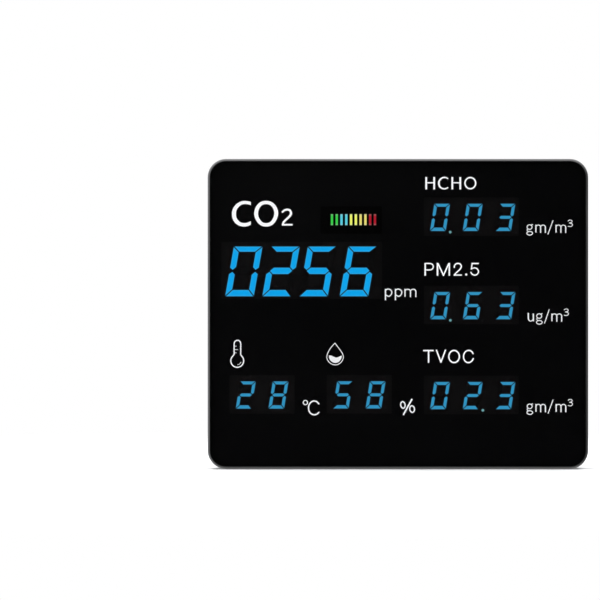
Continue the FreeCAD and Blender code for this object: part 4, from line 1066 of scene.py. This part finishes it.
def thin(loop, tolerance):
    """Drops points that lie within the tolerance of the line between kept neighbours."""
    count = len(loop)
    points = np.array(loop)
    far = int(np.argmax(np.hypot(*(points - points[0]).T)))
    keep = {0, far}

    def split(a, b):
        between = [k % count for k in range(a + 1, b if b > a else b + count)]
        if not between:
            return
        line = points[b % count] - points[a]
        offsets = points[between] - points[a]
        length = math.hypot(*line)
        if length > 1e-9:
            distances = np.abs(offsets[:, 0] * line[1] - offsets[:, 1] * line[0]) / length
        else:
            distances = np.hypot(*offsets.T)
        worst = int(np.argmax(distances))
        if distances[worst] > tolerance:
            chosen = between[worst]
            keep.add(chosen)
            split(a, chosen if chosen > a else chosen + count)
            split(chosen, b if b > chosen else b + count)

    split(0, far)
    split(far, count)
    return [loop[k] for k in sorted(keep)]


def area(loop):
    """Area inside a loop."""
    points = np.array(loop)
    following = np.roll(points, -1, 0)
    return abs(0.5 * float(np.sum(points[:, 0] * following[:, 1]
                                  - following[:, 0] * points[:, 1])))


def contains(loop, point):
    x, z = point
    hit = False
    for (x0, z0), (x1, z1) in zip(loop, loop[1:] + loop[:1]):
        if (z0 > z) != (z1 > z) and x < x0 + (z - z0) * (x1 - x0) / (z1 - z0):
            hit = not hit
    return hit


def ink_mesh(name, strokes, y_front, y_back, slim):
    """A thin raised layer in the shape of the strokes, its edge drawn slim inside theirs."""
    places = np.array([point for stroke in strokes for point in stroke[2]])
    x0, z0 = (float(v) for v in places.min(0) - GRID_MARGIN)
    x1, z1 = (float(v) for v in places.max(0) + GRID_MARGIN)
    columns, rows = int((x1 - x0) / GRID_STEP) + 1, int((z1 - z0) / GRID_STEP) + 1
    x, z = np.meshgrid(x0 + GRID_STEP * np.arange(columns), z0 + GRID_STEP * np.arange(rows))
    traced = outlines(stroke_field(strokes, x, z) + slim, x0, z0, GRID_STEP)
    loops = [thin(loop, OUTLINE_TOLERANCE) for loop in traced]
    loops = [loop for loop in loops if len(loop) > 2 and area(loop) > 0.02]
    depth = [sum(contains(o, loop[0]) for o in loops if o is not loop) for loop in loops]
    verts, faces = [], []
    for i, outer in enumerate(loops):
        if depth[i] % 2:
            continue  # a hole
        rings = [outer] + [loop for k, loop in enumerate(loops)
                           if depth[k] == depth[i] + 1 and contains(outer, loop[0])]
        flat = [p for ring in rings for p in ring]
        triangles = tessellate_polygon([[Vector((*p, 0)) for p in ring] for ring in rings])
        front = len(verts)
        back = front + len(flat)
        for y in (y_front, y_back):
            verts += [(p[0] * MM, y * MM, p[1] * MM) for p in flat]
        for a, b, c in triangles:
            faces.append((front + a, front + b, front + c))
            faces.append((back + c, back + b, back + a))
        start = 0
        for ring in rings:
            for j in range(len(ring)):
                a, b = start + j, start + (j + 1) % len(ring)
                faces.append((front + a, back + a, back + b, front + b))
            start += len(ring)
    mesh = bpy.data.meshes.new(name)
    mesh.from_pydata(verts, [], faces)
    bm = bmesh.new()
    bm.from_mesh(mesh)
    bmesh.ops.recalc_face_normals(bm, faces=bm.faces)
    bm.to_mesh(mesh)
    bm.free()
    return mesh


film_front = node_box("printed_mask_film")[0][1]
for legend, (ink, slim, strokes) in LEGENDS.items():
    name = "legend_" + legend
    mesh = ink_mesh(name, strokes, film_front - INK_THICKNESS, film_front, slim)
    mesh.materials.append(material(ink))
    new_piece(name, mesh)


# ---- second materials on CAD nodes
RIM_MIDDLE_Z = 110.0
# half lengths of the rim's straight sides, from its middle to where the corner arcs start
RIM_STRAIGHT_X, RIM_STRAIGHT_Z = 122.0, 97.0
LIP_FRONT_Y = -14.0  # front-facing parts of the rim behind this belong to the inner lip


def paint(node, key, chosen):
    """Gives the polygons for which chosen(polygon, mesh) is true a second material."""
    mesh = NODES[node].data
    mesh.materials.append(material(key))
    for poly in mesh.polygons:
        poly.material_index = 1 if chosen(poly, mesh) else 0


def faces_inward(poly, mesh):
    """True on the inner lip and inner walls of the rim, the faces that get painted shade."""
    normal, center = poly.normal, poly.center / MM
    if abs(normal.y) > 0.85:
        front = min(mesh.vertices[v].co.y for v in poly.vertices) / MM
        return front > LIP_FRONT_Y and normal.y < 0
    x, z = center.x, center.z - RIM_MIDDLE_Z
    past_x, past_z = abs(x) - RIM_STRAIGHT_X, abs(z) - RIM_STRAIGHT_Z
    # outward is away from the nearest corner arc's middle, or straight out from the nearest side
    if past_x > 0 and past_z > 0:
        outward = Vector((math.copysign(past_x, x), 0, math.copysign(past_z, z)))
    elif past_x > past_z:
        outward = Vector((math.copysign(1, x), 0, 0))
    else:
        outward = Vector((0, 0, math.copysign(1, z)))
    return Vector((normal.x, 0, normal.z)).dot(outward.normalized()) < -0.2


def paint_cable():
    """Colours the separate wires of the sensor cable in turn, from the lowest up."""
    mesh = NODES["sensor_cable"].data
    mesh.materials.clear()
    for key in WIRES:
        mesh.materials.append(material(key))
    wires = sorted(islands(mesh), key=lambda group: middle(mesh, group)[0][2])
    for n, group in enumerate(wires):
        for i in group:
            mesh.polygons[i].material_index = n % len(WIRES)


# the panel's edge walls are black
paint("front_panel", "film", lambda poly, mesh: abs(poly.normal.y) < 0.3)
# painted shade: the rim's inner lip and inner walls get a near-black finish that darkens its inner
# edge and hides their reflection
paint("trim_bezel", "rim_inner_shade", faces_inward)
paint_cable()


# ---- stage, in metres
def m_floor():
    """Pale paper that fades into the white backdrop away from the object."""
    tex = Texture("studio_floor")
    cloud = tex.noise(size=60.0)
    metres = tex.space((0.001,) * 3)
    radius = tex.math("SQRT", tex.add(*(tex.math("POWER", tex.axis(a, metres), 2.0)
                                        for a in "XY")))
    paper = tex.node("ShaderNodeBsdfDiffuse", {
        "Color": tex.ramp(cloud, (0.93, 0.93, 0.935), (0.95, 0.95, 0.952))})
    clear = tex.node("ShaderNodeBsdfTransparent", {"Color": 1.0})
    faded = tex.math("MAXIMUM", tex.span(radius, (0.22, 0.75), smooth=True),
                     tex.geometry("Backfacing"))
    return tex.surface(tex.mix_shaders(faded, paper.outputs[0], clear.outputs[0]))


def make_floor(half=6, drop=0.0003):
    mesh = bpy.data.meshes.new("studio_floor")
    mesh.from_pydata([(-half, -half, 0), (half, -half, 0), (half, half, 0), (-half, half, 0)],
                     [], [(0, 1, 2, 3)])
    floor = bpy.data.objects.new("studio_floor", mesh)
    bpy.context.scene.collection.objects.link(floor)
    mesh.materials.append(m_floor())
    floor.location.z = -drop
    floor.visible_glossy = False


def make_world():
    """White to the camera, soft light for matt surfaces, bright strips for polished ones."""
    world = bpy.data.worlds.new("studio")
    bpy.context.scene.world = world
    sky = Graph(world)
    coord = sky.node("ShaderNodeTexCoord").outputs["Generated"]
    x, y, z = sky.node("ShaderNodeSeparateXYZ", {"Vector": coord}).outputs

    def part(value, source, to):
        return sky.span(value, source, to=to, smooth=True)

    up = part(z, (0.05, 0.95), to=(0.0, 0.95))
    down = part(sky.times(z, -1.0), (0.05, 0.9), to=(0.0, 0.24))
    left = part(sky.times(x, -1.0), (0.15, 0.95), to=(0.0, 0.45))
    right = part(x, (0.15, 0.95), to=(0.0, 0.02))
    back = part(y, (-0.2, 0.8), to=(0.0, 0.65))
    soft = sky.add(sky.add(sky.add(up, down), sky.add(left, right)), sky.add(back, 0.05))
    # dim in front of the display
    soft = sky.times(soft, part(sky.times(y, -1.0), (0.72, 0.95), to=(1.0, 0.06)))

    # polished surfaces mirror strips above, below, left and right, dark straight ahead
    across = sky.math("SQRT", sky.add(sky.times(x, x), sky.add(sky.times(z, z), 0.0001)))
    side, rise = sky.math("DIVIDE", x, across), sky.math("DIVIDE", z, across)

    def strip(direction, share):
        return sky.times(sky.math("POWER", sky.math("MAXIMUM", direction, 0.0), 2.0), share)

    mirror = strip(rise, share=0.60)
    mirror = sky.add(mirror, strip(sky.times(rise, -1.0), share=0.26))
    mirror = sky.add(mirror, strip(sky.times(side, -1.0), share=0.36))
    mirror = sky.add(mirror, strip(side, share=0.04))
    mirror = sky.times(mirror, part(sky.times(y, -1.0), (0.84, 0.985), to=(1.0, 0.05)))
    # the pale floor and ceiling as the side walls mirror them
    slant = sky.times(sky.times(sky.math("ABSOLUTE", x), sky.math("ABSOLUTE", z)),
                      sky.math("MAXIMUM", sky.add(y, 0.15), 0.0))
    mirror = sky.add(mirror, sky.times(slant, 2.4))

    def background(strength, color=(1.0, 1.0, 1.0)):
        inputs = {"Strength": strength, "Color": color}
        return sky.node("ShaderNodeBackground", inputs).outputs[0]

    rays = sky.node("ShaderNodeLightPath").outputs
    light = sky.mix_shaders(rays["Is Glossy Ray"], background(soft, color=(0.98, 0.99, 1.0)),
                            background(mirror))
    seen = sky.mix_shaders(rays["Is Camera Ray"], light, background(strength=1.0))
    sky.node("ShaderNodeOutputWorld", {"Surface": seen})


def softbox(name, place, target, size, watts):
    lamp = bpy.data.lights.new(name, "AREA")
    lamp.shape = "RECTANGLE"
    lamp.size, lamp.size_y = size
    lamp.energy = watts
    light = bpy.data.objects.new(name, lamp)
    bpy.context.scene.collection.objects.link(light)
    light.location = place
    light.rotation_mode = "QUATERNION"
    light.rotation_quaternion = (Vector(target) - Vector(place)).to_track_quat("-Z", "Y")
    light.visible_glossy = False


def make_camera():
    """A long lens in front of the display, level and a little to its left."""
    lens = bpy.data.cameras.new("camera")
    lens.type = "PERSP"
    lens.sensor_width = 36.0
    lens.lens = 212.5
    lens.clip_start, lens.clip_end = 0.05, 50.0
    camera = bpy.data.objects.new("camera", lens)
    bpy.context.scene.collection.objects.link(camera)
    camera.location = (-0.0695, -2.527, 0.1199)
    camera.rotation_euler = (math.radians(90), 0, 0)
    bpy.context.scene.camera = camera


make_floor()
make_world()
softbox("key_top", place=(-0.15, -0.35, 1.5), target=(0, 0, 0.1), size=(1.6, 1.0), watts=16.0)
softbox("fill_left", place=(-1.5, -0.55, 0.45), target=(0, 0, 0.11), size=(0.9, 1.1), watts=5.0)
softbox("fill_back", place=(0.5, 1.6, 1.0), target=(0, 0, 0.11), size=(1.2, 1.0), watts=14.0)
make_camera()

view = bpy.context.scene.view_settings
view.view_transform = "Standard"
view.look = "None"
view.exposure = 0.0
view.gamma = 1.0
